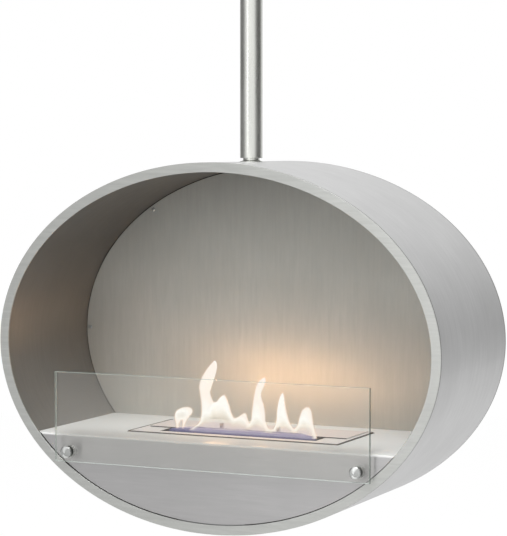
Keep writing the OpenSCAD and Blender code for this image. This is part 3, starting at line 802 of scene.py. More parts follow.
class Forge:
    """Makes pieces from bmesh: sweeps round the oval, turned shapes and finished objects."""

    @staticmethod
    def mesh(name: str, bm: Shape) -> bpy.types.Mesh:
        """Makes a mesh of a shape.

        Args:
            name: The mesh's name.
            bm: The shape, which is used up.

        Returns:
            The mesh.
        """
        mesh = bpy.data.meshes.new(name)
        bm.to_mesh(mesh)
        bm.free()
        return mesh

    @staticmethod
    def corners(made_geometry: Iterable[object]) -> list[bmesh.types.BMVert]:
        """The vertices among what an operator made."""
        return [part for part in made_geometry if isinstance(part, bmesh.types.BMVert)]

    @staticmethod
    def bar(low: float, high: float, front: float, back: float,
            radii: tuple[float, float, float, float]) -> Profile:
        """A flat bar's section with its corners rounded.

        Args:
            low: The least inset.
            high: The greatest inset.
            front: Its front.
            back: Its back.
            radii: The radii of the inner front, inner back, outer back and outer front corners.

        Returns:
            The section as (inset, y) points, in order round it.
        """
        inner_front, inner_back, outer_back, outer_front = radii
        return [*arc((high - inner_front, front + inner_front), inner_front, -90, 0),
                *arc((high - inner_back, back - inner_back), inner_back, 0, 90),
                *arc((low + outer_back, back - outer_back), outer_back, 90, 180),
                *arc((low + outer_front, front + outer_front), outer_front, 180, 270)]

    @staticmethod
    def tower(steps: int, levels: int, closed: bool = False) -> Shape:
        """Stacks unit circles one metre apart, joined by walls, for a sweep to put in place.

        Args:
            steps: Facets round a circle.
            levels: The number of circles.
            closed: Whether a wall joins the last circle to the first.

        Returns:
            The stack.
        """
        bm = bmesh.new()
        bmesh.ops.create_circle(bm, cap_ends=False, radius=1.0, segments=steps)
        first = last = list(bm.edges)
        for level in range(1, levels):
            made_parts = bmesh.ops.extrude_edge_only(bm, edges=last)["geom"]
            bmesh.ops.translate(bm, vec=(0, 0, 1), verts=Forge.corners(made_parts))
            last = [part for part in made_parts if isinstance(part, bmesh.types.BMEdge)
                    and all(round(vert.co.z) == level for vert in part.verts)]
        if closed:
            bmesh.ops.bridge_loops(bm, edges=first + last)
        return bm

    @staticmethod
    def capped(bm: Shape) -> Shape:
        """Closes the open ends of a shape.

        Args:
            bm: The shape.

        Returns:
            The same shape.
        """
        bmesh.ops.holes_fill(bm, edges=[edge for edge in bm.edges if edge.is_boundary], sides=0)
        bm.normal_update()
        return bm

    @staticmethod
    def unwrapped(turns: Sequence[float]) -> list[float]:
        """The turns, 0 to 1, of a face's corners round an axis, carried on past the seam."""
        wraps = max(turns) - min(turns) > 0.5
        return [turn + (1 if wraps and turn < 0.5 else 0) for turn in turns]

    @staticmethod
    def sweep(oval: Oval, section: Profile, closed: bool = True) -> Shape:
        """Carries a section round the oval.

        Args:
            oval: The drum's outline.
            section: (inset, y) points in order.
            closed: Whether the section's end joins its start.

        Returns:
            The swept shape, mapped: U along the section in mm, V round the oval.
        """
        bm = Forge.tower(OVAL_STEPS, len(section), closed)
        lengths = [0.0]
        for start, end in zip(section, section[1:]):
            lengths.append(lengths[-1] + math.dist(start, end) / MM)
        grain = bm.loops.layers.uv.new(GRAIN_MAP)
        for face in bm.faces:
            turns = Forge.unwrapped([math.atan2(vert.co.y, vert.co.x) / math.tau % 1
                                     for vert in face.verts])
            rows = [round(vert.co.z) for vert in face.verts]
            closing = closed and max(rows) - min(rows) > 1
            for loop, turn, row in zip(face.loops, turns, rows):
                along = lengths[-1] + 1.0 if closing and row == 0 else lengths[row]
                loop[grain].uv = (along, turn)
        for vert in bm.verts:
            inset, y = section[round(vert.co.z)]
            vert.co = oval.point(math.atan2(vert.co.y, vert.co.x), inset, y)
        return bm

    @staticmethod
    def plate(oval: Oval, inset: float, front: float, back: float, radius: float) -> Shape:
        """A flat oval sheet with rounded edges.

        Args:
            oval: The drum's outline.
            inset: The inset of the sheet's edge.
            front: Its front.
            back: Its back.
            radius: The radius of its edges.

        Returns:
            The sheet.
        """
        land = inset + 6 * MM
        edge = [(land, front), *arc((inset + radius, front + radius), radius, -90, -180),
                *arc((inset + radius, back - radius), radius, 180, 90), (land, back)]
        return Forge.capped(Forge.sweep(oval, edge, closed=False))

    @staticmethod
    def lathe(profile: Profile, centre: Vector, axis: Axis, steps: int) -> Shape:
        """Turns a profile about an axis.

        Args:
            profile: (radius, place along the axis) points in order.
            centre: The point on the axis that places are measured from.
            axis: The axis.
            steps: Facets round it.

        Returns:
            The turned shape, mapped: U along the profile in mm, V round the axis.
        """
        bm = bmesh.new()
        along = axis.value
        out = along.orthogonal().normalized()
        side = along.cross(out)
        verts = [bm.verts.new(out * radius + along * place) for radius, place in profile]
        edges = [bm.edges.new(pair) for pair in zip(verts, verts[1:])]
        bmesh.ops.spin(bm, geom=verts + edges, cent=(0, 0, 0), axis=along, dvec=(0, 0, 0),
                       angle=math.tau, steps=steps, use_merge=True, use_duplicate=False)
        bmesh.ops.remove_doubles(bm, verts=bm.verts, dist=0.001 * MM)
        bmesh.ops.recalc_face_normals(bm, faces=bm.faces)
        grain = bm.loops.layers.uv.new(GRAIN_MAP)
        for face in bm.faces:
            turns = Forge.unwrapped([math.atan2(vert.co.dot(side), vert.co.dot(out)) / math.tau % 1
                                     for vert in face.verts])
            for loop, turn in zip(face.loops, turns):
                co = loop.vert.co
                reach = (co - along * co.dot(along)).length
                loop[grain].uv = ((reach + abs(co.dot(along))) / MM, turn)
        bmesh.ops.translate(bm, vec=centre, verts=bm.verts)
        return bm

    @staticmethod
    def map_flat(bm: Shape, across: Axis, along: Axis) -> Shape:
        """Maps a sheet flat.

        Args:
            bm: The sheet.
            across: The axis across the scratches, in which U runs.
            along: The axis along them.

        Returns:
            The same sheet.
        """
        grain = bm.loops.layers.uv[GRAIN_MAP]
        for face in bm.faces:
            for loop in face.loops:
                loop[grain].uv = (loop.vert.co.dot(across.value) / MM,
                                  loop.vert.co.dot(along.value) / MM)
        return bm

    @staticmethod
    def joined(parts: Iterable[Shape]) -> Shape:
        """Puts several shapes in one.

        Args:
            parts: The shapes, which are used up.

        Returns:
            The whole.
        """
        whole = bmesh.new()
        for part in parts:
            mesh = Forge.mesh("part", part)
            whole.from_mesh(mesh)
            bpy.data.meshes.remove(mesh)
        return whole

    @staticmethod
    def soften(bm: Shape, width: float, angle: float = 40.0) -> None:
        """Rounds every edge sharper than an angle.

        Args:
            bm: The shape.
            width: The width of the rounding.
            angle: The angle in degrees.
        """
        bm.normal_update()
        sharp = [edge for edge in bm.edges
                 if edge.is_manifold and edge.calc_face_angle(0.0) > math.radians(angle)]
        bmesh.ops.bevel(bm, geom=sharp, offset=width, offset_type="OFFSET", affect="EDGES",
                        segments=2, profile=0.5, material=-1, clamp_overlap=True)

    @staticmethod
    def finish(name: str, bm: Shape, materials: Sequence[Material], body: str, slot: str,
               stands_for: Sequence[str] = (), crease: float = 50.0) -> bpy.types.Object:
        """Makes an object of a shape and gives it to its body.

        Args:
            name: The object's name.
            bm: The shape, which is used up.
            materials: Its materials, in the order of the faces' numbers.
            body: The body that it moves with.
            slot: The record's material slot; not used.
            stands_for: CAD nodes that it replaces.
            crease: The angle in degrees past which an edge shades sharp.

        Returns:
            The object.
        """
        bmesh.ops.recalc_face_normals(bm, faces=bm.faces)
        mesh = Forge.mesh(name, bm)
        piece = add(name, mesh)
        for material in materials:
            mesh.materials.append(material)
        mesh.shade_smooth()
        mesh.set_sharp_from_angle(angle=math.radians(crease))
        even = piece.modifiers.new("even_shading", "WEIGHTED_NORMAL")
        even.keep_sharp = True
        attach(piece, body)
        if stands_for:
            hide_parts(*stands_for)
        LOG.info("%s: %d faces on %s", name, len(mesh.polygons), body)
        return piece


# ---- The fireplace ----


@dataclass
class Drum:
    """The oval drum: outer shell, rims, liner, fire back and rear cover.

    Attributes:
        finishes: The materials.
        edge: The radius of a broken edge.
        groove: The radius of the edges that meet at the joint of shell and rim.
        joint_shade_share: How much of that radius is painted dark as shade, on either side of the
            joint.
        flat_facing: How squarely a face of a flat sheet looks front or back, if it isn't edge.
        seam: The radius of a flat sheet's edges.
        shell_wall: The thickness of the outer shell.
        rim_width: The width of the rims.
        liner_wall: The thickness of the liner.
    """

    finishes: Finishes
    edge: float = 0.35 * MM
    groove: float = 0.9 * MM
    joint_shade_share: float = 0.8
    flat_facing: float = 0.97
    seam: float = 0.7 * MM
    shell_wall: float = 2 * MM
    rim_width: float = 16 * MM
    liner_wall: float = 1.5 * MM
    oval: Oval = field(init=False)

    def __post_init__(self) -> None:
        """Reads the drum's outline from the frame."""
        low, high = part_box("outer_shell")
        self.oval = Oval((high.x - low.x) / 2, (high.z - low.z) / 2, (high.z + low.z) / 2)

    def inset_of(self, node: str) -> float:
        """How far inside the drum's outline a node's outer edge lies."""
        return self.oval.half_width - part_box(node)[1].x

    def band(self, name: str, node: str, inner: float, grooves: Sequence[int],
             material: Material, slot: str, flat: bool = False) -> None:
        """Makes a band or ring of the drum.

        Args:
            name: The piece's name.
            node: The CAD node that it replaces.
            inner: The thickness of its section, towards the middle.
            grooves: Which corners, from the inner front one round, meet another band.
            material: Its finish.
            slot: Its material slot.
            flat: Whether it was brushed flat, from side to side.
        """
        low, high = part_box(node)
        outer = self.inset_of(node)
        radii = tuple(self.groove if corner in grooves else self.edge for corner in range(4))
        bm = Forge.sweep(self.oval, Forge.bar(outer, outer + inner, low.y, high.y, radii))
        if flat:
            Forge.map_flat(bm, Axis.Z, Axis.X)
        joints = [corner.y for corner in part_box("outer_shell")]
        # Painted shade: faces in the groove at the joint of shell and rim take the darker material.
        for face in bm.faces:
            off = min(abs(face.calc_center_median().y - joint) for joint in joints)
            face.material_index = int(bool(grooves) and off < self.joint_shade_share * self.groove)
        Forge.finish(name, bm, [material, self.finishes.joint], "drum", slot, [node])

    def sheet(self, name: str, node: str, across: Axis, along: Axis, material: Material,
              slot: str) -> None:
        """Makes a flat oval sheet of the drum.

        Args:
            name: The piece's name.
            node: The CAD node that it replaces.
            across: The axis across its scratches.
            along: The axis along them.
            material: Its finish.
            slot: Its material slot.
        """
        low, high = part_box(node)
        bm = Forge.plate(self.oval, self.inset_of(node), low.y, high.y, self.seam)
        # Painted shade: the sheet's rounded edge takes the near-black seam material.
        for face in bm.faces:
            face.material_index = int(abs(face.normal.y) < self.flat_facing)
        Forge.finish(name, Forge.map_flat(bm, across, along), [material, self.finishes.seam],
                     "drum", slot, [node])

    def build(self) -> None:
        """Makes the drum's pieces."""
        finishes = self.finishes
        self.band("drum_shell", "outer_shell", self.shell_wall, (2, 3), finishes.shell,
                  "brushed_shell")
        self.band("drum_front_rim", "front_rim", self.rim_width, (2,), finishes.rim,
                  "brushed_rim", flat=True)
        self.band("drum_rear_rim", "rear_rim", self.rim_width, (3,), finishes.rim,
                  "brushed_rim", flat=True)
        self.band("chamber_liner", "inner_liner", self.liner_wall, (), finishes.liner,
                  "liner_steel")
        self.sheet("chamber_back", "fire_back", Axis.X, Axis.Z, finishes.fire_back, "liner_steel")
        self.sheet("drum_rear_cover", "rear_cover", Axis.Z, Axis.X, finishes.cover,
                   "brushed_shell")
        dress(finishes.seam, "back_flange")
        dress(finishes.inner, "liner_spacers", "rear_flange", "left_deck_rail", "right_deck_rail",
              "panel_catch", "drip_tray", "saddle_plate", "saddle_spacer")
        dress(finishes.zinc, "castle_nut", "split_pin", "standoff_washers", "standoff_nuts",
              "standoff_studs", "collar_grub_screw", "swivel_housing", "ceiling_plate",
              "fire_back_screws", "rear_cover_screws")
        dress(finishes.bronze, "swivel_bush", "thrust_washer")
        dress(finishes.hearth, "hearth_deck")


@dataclass
class Suspension:
    """The hanging tube, its neck and the canopy at the ceiling.

    Attributes:
        finishes: The materials.
        steps: Facets round the tube and the canopy.
        tube_wall: The thickness of the tube.
        chamfer: The chamfer at its foot.
        canopy_wall: The thickness of the canopy.
        canopy_round: The radius of its lower edge.
        canopy_fit: The room between it and the tube.
    """

    finishes: Finishes
    steps: int = 128
    tube_wall: float = 2.5 * MM
    chamfer: float = 0.6 * MM
    canopy_wall: float = 1.2 * MM
    canopy_round: float = 8 * MM
    canopy_fit: float = 0.3 * MM

    def tube(self) -> None:
        """Makes the tube, with its lower end lightly chamfered, and dresses its swivelling neck."""
        low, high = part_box("hanging_tube")
        radius = (high.x - low.x) / 2
        bore = radius - self.tube_wall
        profile = [(bore, high.z), (radius, high.z), (radius, low.z + self.chamfer),
                   (radius - self.chamfer, low.z), (bore, low.z), (bore, high.z)]
        bm = Forge.lathe(profile, Vector((0, 0, 0)), Axis.Z, self.steps)
        Forge.finish("tube_skin", bm, [self.finishes.tube], "ceiling_mount", "satin_tube",
                     ["hanging_tube"])
        dress(self.finishes.tube, "swivel_spindle", "flared_base", "tube_screws")
        dress(self.finishes.zinc, "foot_washer", "thin_nut")

    def canopy(self) -> None:
        """Makes the canopy, softly rounded, and dresses its collar."""
        low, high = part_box("canopy")
        bore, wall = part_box("hanging_tube")[1].x + self.canopy_fit, self.canopy_wall
        centre = (high.x - self.canopy_round, low.z + self.canopy_round)
        profile = [(bore, low.z + wall), (bore, low.z), *arc(centre, self.canopy_round, -90, 0, 10),
                   (high.x, high.z), (high.x - wall, high.z),
                   *arc(centre, self.canopy_round - wall, 0, -90, 10), (bore, low.z + wall)]
        bm = Forge.lathe(profile, Vector((0, 0, 0)), Axis.Z, self.steps)
        Forge.finish("canopy_cup", bm, [self.finishes.turned], "canopy", "brushed_shell",
                     ["canopy"])
        dress(self.finishes.tube, "canopy_collar")

    def build(self) -> None:
        """Makes the suspension's pieces."""
        self.tube()
        self.canopy()


@dataclass
class GlassScreen:
    """The glass, its caps and what holds them.

    Attributes:
        finishes: The materials.
        ground: The width of the glass's ground edge.
        bevel: The bevel of a cap's face.
        dish: How deep the face is dished.
        land: The width of the flat ring round the dish.
        steps: Facets round a cap.
    """

    finishes: Finishes
    ground: float = 0.6 * MM
    bevel: float = 0.7 * MM
    dish: float = 0.12 * MM
    land: float = 1.2 * MM
    steps: int = 64

    def pane(self) -> None:
        """Makes the pane, with ground edges: painted shade on the +X edge, painted light on the
        bottom one.
        """
        low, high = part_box("glass_pane")
        bm = bmesh.new()
        bmesh.ops.create_cube(bm, size=1.0)
        bmesh.ops.scale(bm, vec=high - low, verts=bm.verts)
        bmesh.ops.translate(bm, vec=(high + low) / 2, verts=bm.verts)
        Forge.soften(bm, self.ground)
        # Painted shade on the +X edge, painted light on the bottom edge.
        for face in bm.faces:
            if abs(face.normal.y) < 0.99:
                face.material_index = 2 if face.normal.x > 0.5 else 3 if face.normal.z < -0.5 else 1
        finishes = self.finishes
        Forge.finish("glass_sheet", bm, [finishes.glass, finishes.glass_edge,
                                         finishes.painted_shade_glass_edge, finishes.painted_light_glass_edge],
                     "drum", "clear_glass", ["glass_pane"])

    def caps(self) -> None:
        """Makes the two turned caps, each with a dished face."""
        low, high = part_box("standoff_caps")
        radius, depth = (high.z - low.z) / 2, high.y - low.y
        face = radius - self.bevel
        profile = [(0, self.dish), (face - self.land, 0.0), (face, 0.0), (radius, self.bevel),
                   (radius, depth), (0, depth)]
        for side, label in ((-1, "left"), (1, "right")):
            centre = Vector((side * (high.x - radius), low.y, (high.z + low.z) / 2))
            Forge.finish(label + "_cap", Forge.lathe(profile, centre, Axis.Y, self.steps),
                         [self.finishes.cap], "drum", "turned_steel", ["standoff_caps"])
        dress(self.finishes.barrel, "standoff_barrels")
        dress(self.finishes.gasket, "glass_gaskets")

    def build(self) -> None:
        """Makes the screen's pieces."""
        self.pane()
        self.caps()


@dataclass
class Burner:
    """The burner's plate, lid, knobs and wool.

    Attributes:
        finishes: The materials.
        lip_wall: The thickness of the plate's upturned edge.
        lip_rise: How far it stands above the plate.
        lip_clear: The room between it and the plate.
        lip_edge: The rounding of its edges.
        knob_neck: The radius of a knob's neck, as a share of the knob's.
        knob_step: The heights between which the neck widens to the knob.
        knob_bevel: The bevel of a knob's top.
        steps: Facets round a knob.
        wool_clear: The room round the wool.
        wool_side: How much narrower than the room the wool's mat is.
        wool_gap: The room between its layers.
        wool_grid: Its facets across and along.
        tuft: How far its tufts stand out, in mm.
        trim: How far its face is drawn in, in mm.
    """

    finishes: Finishes
    lip_wall: float = 0.8 * MM
    lip_rise: float = 0.9 * MM
    lip_clear: float = 0.05 * MM
    lip_edge: float = 0.15 * MM
    knob_neck: float = 0.86
    knob_step: tuple[float, float] = (1.2 * MM, 1.8 * MM)
    knob_bevel: float = 0.8 * MM
    steps: int = 48
    wool_clear: float = 0.7 * MM
    wool_side: float = 2 * MM
    wool_gap: float = 0.5 * MM
    wool_grid: tuple[int, int] = (110, 180)
    tuft: float = 0.45
    trim: float = 0.3

    def knobs(self) -> None:
        """Makes the lid's two knobs."""
        low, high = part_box("lid_knobs")
        radius, height, bevel = (high.y - low.y) / 2, high.z - low.z, self.knob_bevel
        neck, (narrow, wide) = radius * self.knob_neck, self.knob_step
        profile = [(0, 0), (neck, 0), (neck, narrow), (radius, wide),
                   (radius, height - bevel), (radius - bevel, height), (0, height)]
        places = [Vector((side * (high.x - radius), (low.y + high.y) / 2, low.z))
                  for side in (-1, 1)]
        pair = Forge.joined(Forge.lathe(profile, place, Axis.Z, self.steps) for place in places)
        Forge.finish("lid_knob_pair", pair, [self.finishes.knob], "burner_lid", "burner_steel",
                     ["lid_knobs"])

    def lip(self) -> None:
        """Makes the fine upturned edge round the plate, coloured dark as a painted shadow of the
        gap.
        """
        low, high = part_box("burner_plate")
        size, middle = high - low, (high + low) / 2
        bm = bmesh.new()
        bmesh.ops.create_grid(bm, x_segments=1, y_segments=1, size=0.5)
        bmesh.ops.scale(bm, vec=(size.x + 2 * self.lip_clear, size.y + 2 * self.lip_clear, 1),
                        verts=bm.verts)
        bmesh.ops.translate(bm, vec=(middle.x, middle.y, low.z), verts=bm.verts)
        inside = list(bm.faces)
        bmesh.ops.inset_region(bm, faces=inside, thickness=self.lip_wall, use_boundary=True,
                               use_even_offset=True)
        bmesh.ops.delete(bm, geom=inside, context="FACES_ONLY")
        raised = bmesh.ops.extrude_face_region(bm, geom=list(bm.faces), use_keep_orig=True)["geom"]
        bmesh.ops.translate(bm, vec=(0, 0, size.z + self.lip_rise), verts=Forge.corners(raised))
        Forge.soften(bm, self.lip_edge)
        # Painted shadow: the lip stands in for the dark gap round the burner plate.
        Forge.finish("plate_lip", bm, [self.finishes.gap_shadow_edge], "burner", "burner_steel")

    def fold(self, along: float, reach: float, bend: float) -> tuple[float, float]:
        """A point of the wool mat's middle line, folded in three like a letter.

        Args:
            along: How far along the mat it lies.
            reach: The length of each level layer.
            bend: The radius of the folds.

        Returns:
            Its place back from the first layer's start, and its height over the first layer.
        """
        layer, along = divmod(along, reach + math.pi * bend)
        turn = max(0.0, along - reach) / bend
        out = min(along, reach) + bend * math.sin(turn)
        return reach - out if layer % 2 else out, bend * (2 * layer + 1 - math.cos(turn))

    def wool(self) -> None:
        """Makes the wool that soaks up the fuel: a tufted mat folded in three."""
        low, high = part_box("ceramic_wool")
        size, middle, clear = high - low, (high + low) / 2, self.wool_clear
        bend = (size.z - 2 * clear) / 6
        thick, reach = 2 * bend - self.wool_gap, size.y - 4 * bend - 2 * clear
        length, width = 3 * reach + 2 * math.pi * bend, size.x - 0.2 * thick - self.wool_side
        across, along = self.wool_grid
        bm = bmesh.new()
        bmesh.ops.create_grid(bm, x_segments=across, y_segments=along, size=0.5)
        for vert in bm.verts:
            back, rise = self.fold((vert.co.y + 0.5) * length, reach, bend)
            vert.co = Vector((vert.co.x * width, back + low.y + 2 * bend + clear,
                              rise + low.z + bend + clear))
        bmesh.ops.solidify(bm, geom=bm.faces, thickness=thick)
        bmesh.ops.recalc_face_normals(bm, faces=bm.faces)
        bm.normal_update()
        deep = sum(vert.co.z for vert in bm.verts) / len(bm.verts)
        bmesh.ops.translate(bm, vec=(0, 0, middle.z - deep), verts=bm.verts)
        for vert, normal in [(vert, vert.normal.copy()) for vert in bm.verts]:
            x, y, z = vert.co / MM
            wave = (math.sin(0.61 * x + 1.7 * math.sin(0.23 * y))
                    * math.sin(0.53 * y + 1.3 * math.sin(0.31 * x + z)))
            vert.co += normal * (self.tuft * wave - self.trim) * MM
        bmesh.ops.smooth_vert(bm, verts=bm.verts, factor=0.4, use_axis_x=True, use_axis_y=True,
                              use_axis_z=True)
        Forge.finish("wool_mat", bm, [self.finishes.wool], "burner", "ceramic_fibre",
                     ["ceramic_wool"], crease=180.0)

    def build(self) -> None:
        """Makes the burner's pieces."""
        self.knobs()
        self.lip()
        dress(self.finishes.burner, "burner_plate")
        dress(self.finishes.lid, "burner_lid")
        dress(self.finishes.inner, "fuel_reservoir", "lid_guide_studs")
        self.wool()


@dataclass(frozen=True)
class Tongue:
    """One tongue of flame.

    Attributes:
        rings: (x, height over the plate, half width) in mm, from the foot to the tip.
        lean: How far its tip leans to the back, in mm.
    """

    rings: tuple[tuple[float, float, float], ...]
    lean: float = 0.0


TONGUES = (
    # The puff at the left, and its leg.
    Tongue(((-121.5, 3, 2.6), (-121.5, 12, 2.8), (-120.5, 18, 5), (-114, 22, 11.5),
            (-110.5, 28, 14.9), (-107.6, 33.5, 14.5), (-104.7, 38, 9.5), (-103.5, 40, 3)), 3),
    Tongue(((-111.5, 3, 1.8), (-109.5, 11, 2.2), (-107, 19, 3.4), (-106, 24, 6)), 1),
    # The tall one, its shoulder, and the small one.
    Tongue(((-66, 1, 33), (-63, 8, 25), (-60, 12.7, 20.4), (-60, 18, 16.6), (-61, 28.5, 13.6),
            (-62.2, 38.8, 12), (-63.6, 49, 11.2), (-66.9, 58, 9.4), (-69, 66.8, 8.8),
            (-68.5, 75.5, 10.8), (-65.9, 84.4, 11.6), (-62.4, 93.3, 11.2), (-58, 102.2, 10),
            (-53.8, 111.1, 7.6), (-51, 118.2, 4.3), (-50, 122.6, 1.4)), 8),
    Tongue(((-28, 1, 32), (-30, 14, 26), (-36, 25, 21.8), (-37.6, 30, 19.7), (-39.3, 38, 17.8),
            (-39.6, 45.8, 16), (-36.2, 52.7, 10.2), (-35.0, 59.6, 6.2), (-33.7, 64, 3),
            (-33.4, 65.8, 1)), -3),
    Tongue(((0, 1, 20), (-1, 16.5, 15.4), (-1, 21.4, 13), (0.6, 27, 9.6), (3.6, 31, 6),
            (5.4, 34.8, 2.8), (6.4, 36.4, 0.9)), 2),
    # The fourth and the fifth.
    Tongue(((31, 1, 24), (30.5, 11, 19), (30.7, 18, 14.8), (31.2, 25.9, 11.9), (31.5, 36, 11.6),
            (31.2, 51.3, 9.5), (30.3, 58, 7.7), (30, 65.1, 6), (31.2, 73.6, 5.8),
            (34.8, 82.6, 6.8), (39, 91.2, 5.8), (42, 96.4, 3), (43, 98.6, 1)), 6),
    Tongue(((77, 1, 26), (78.5, 10, 20.5), (77.2, 19, 13.4), (75.8, 30, 10), (74.2, 43.2, 8.1),
            (73.7, 53.6, 6.3), (74.5, 63.7, 4.9), (75.4, 70.6, 3), (76.3, 75.5, 1)), -4),
    # The webs between them.
    Tongue(((-50, 14, 16), (-50, 40, 11), (-49.5, 49, 7), (-49, 52.4, 2.5))),
    Tongue(((-14, 2, 16), (-13.5, 18, 10), (-13.5, 24, 6), (-13.5, 26.4, 2.5))),
    Tongue(((14, 2, 12), (14.2, 11, 7), (14.2, 16, 3.5), (14.2, 18, 1.5))),
    Tongue(((51, 1, 16), (52, 6, 12), (52.5, 9.5, 7), (52.8, 11.4, 2.5))),
    Tongue(((98.5, 1, 16), (98.5, 8, 11), (98.7, 12, 6), (98.9, 14, 2.5))),
    # The last one, at the right.
    Tongue(((117.5, 1, 20.5), (116.5, 11, 18), (118.2, 22, 13.2), (118.5, 32, 11.6),
            (119.8, 45.2, 8.4), (120.7, 49.6, 5.2), (121.6, 52.6, 2)), 2),
)


@dataclass
class Fire:
    """The flames over the slot.

    Attributes:
        points: Facets round a tongue.
        flatness: A tongue's depth as a share of its width.
        most_depth: The most depth of a tongue, either way.
        weld: The size at which the tongues run together.
        veil: How far the thin outer flame stands off the white one.
        slot_back: How far the slot's middle lies behind the burner plate's front edge.
        slant: How far a tongue that leans back by one also leans to the left.
        bed_reach: Half the length of the bed of blue flame.
        bed_rise: Its height over the plate.
        bed_sink: How far below the plate's top it starts.
        bed_depth: Half its depth.
    """

    points: int = 24
    flatness: float = 0.7
    most_depth: float = 12 * MM
    weld: float = 1.4 * MM
    veil: float = 1.5 * MM
    slot_back: float = 44 * MM
    slant: float = 0.47
    bed_reach: float = 137 * MM
    bed_rise: float = 6 * MM
    bed_sink: float = 1.9 * MM
    bed_depth: float = 16 * MM
    middle: float = field(init=False)
    top: float = field(init=False)

    def __post_init__(self) -> None:
        """Reads the slot's place from the frame."""
        low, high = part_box("burner_plate")
        self.middle, self.top = low.y + self.slot_back, high.z

    def tongue(self, tongue: Tongue) -> Shape:
        """Makes one tongue as a closed, flattened body.

        Args:
            tongue: Its rings.

        Returns:
            The shape.
        """
        bm = Forge.capped(Forge.tower(self.points, len(tongue.rings)))
        tip = tongue.rings[-1][1]
        for vert in bm.verts:
            x, rise, half = tongue.rings[round(vert.co.z)]
            deep = min(half * MM * self.flatness, self.most_depth)
            lean = tongue.lean * rise / tip
            vert.co = Vector(((x + vert.co.x * half - lean * self.slant) * MM,
                              self.middle + lean * MM + vert.co.y * deep, self.top + rise * MM))
        return bm

    def welded(self) -> Shape:
        """Runs all the tongues together in one smooth body.

        Returns:
            The body.
        """
        shape = Forge.joined(self.tongue(item) for item in TONGUES)
        bmesh.ops.recalc_face_normals(shape, faces=shape.faces)
        rough = add("tongues", Forge.mesh("tongues", shape))
        weld = rough.modifiers.new("weld", "REMESH")
        weld.mode, weld.voxel_size = "VOXEL", self.weld
        smooth = rough.modifiers.new("smooth", "SMOOTH")
        smooth.factor, smooth.iterations = 0.5, 14
        baked = bpy.data.meshes.new_from_object(
            rough.evaluated_get(bpy.context.evaluated_depsgraph_get()))
        bpy.data.objects.remove(rough)
        body = bmesh.new()
        body.from_mesh(baked)
        bpy.data.meshes.remove(baked)
        return body

    def swollen(self, body: Shape) -> Shape:
        """Copies the flame's body, grown by the veil's distance.

        Args:
            body: The body.

        Returns:
            The veil.
        """
        veil = body.copy()
        veil.normal_update()
        for vert, normal in [(vert, vert.normal.copy()) for vert in veil.verts]:
            vert.co += normal * self.veil
        return veil

    def bed(self) -> Shape:
        """Makes the low bed of blue flame in the slot.

        Returns:
            The shape.
        """
        levels = 6
        bm = Forge.capped(Forge.tower(64, levels))
        for vert in bm.verts:
            share = vert.co.z / (levels - 1)
            swell = math.sqrt(max(0.05, 1 - share * share))
            corner = max(abs(vert.co.x), abs(vert.co.y)) ** 0.4
            ripple = 1 + 0.3 * math.sin(9.3 * vert.co.x + 1.1) * share
            rise = share * (self.bed_rise + self.bed_sink) * ripple
            vert.co = Vector((vert.co.x / corner * self.bed_reach * (0.9 + 0.1 * swell),
                              self.middle + vert.co.y / corner * self.bed_depth * swell,
                              self.top - self.bed_sink + rise))
        return bm

    def light(self, name: str, shape: Shape, finish: Flame) -> None:
        """Makes a piece of the fire.

        Args:
            name: Its name.
            shape: Its shape.
            finish: Its finish.
        """
        piece = Forge.finish(name, shape, [finish.build()], "burner", "ceramic_fibre")
        piece.modifiers.remove(piece.modifiers["even_shading"])
        piece.visible_shadow = False
        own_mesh(piece)

    def build(self) -> None:
        """Makes the flames."""
        top = self.top
        common = dict(foot_z=top - 24 * MM, cheek_z=top - 14 * MM, middle_y=self.middle,
                      rim=8 * MM, flicker=5 * MM, cone=3.0, glow_z=top + 22 * MM,
                      heat=srgb(255, 204, 156))
        core = Flame("flame_core", srgb(255, 255, 250), srgb(222, 212, 232), srgb(255, 244, 224),
                     body_z=top + 14 * MM, thin=0.1, solid=0.99, glow=32.0, **common)
        veil = Flame("flame_veil", srgb(255, 224, 198), srgb(196, 186, 222), srgb(255, 232, 210),
                     body_z=top + 800 * MM, thin=0.03, solid=0.45, glow=1.0, **common)
        bed = Flame("flame_bed", srgb(206, 192, 212), srgb(82, 80, 112), srgb(112, 106, 142),
                    foot_z=top - 1 * MM, cheek_z=top + 2.5 * MM, body_z=top + 6.5 * MM,
                    middle_y=self.middle, rim=0.01 * MM, flicker=1.2 * MM, cone=0.0, thin=0.82,
                    solid=0.08, glow=0.05, glow_z=top + 40 * MM, heat=srgb(190, 186, 240))
        body = self.welded()
        self.light("flame_veils", self.swollen(body), veil)
        self.light("flame_tongues", body, core)
        self.light("flame_bed", self.bed(), bed)


# ---- The studio ----


@dataclass(frozen=True)
class Card:
    """A soft dark side of the studio, which only reflections show.

    Attributes:
        towards: The way to its middle.
        depth: How dark its middle is, 0 to 1.
        half_angle: The angle in degrees at which it has faded out.
    """

    towards: tuple[float, float, float]
    depth: float
    half_angle: float


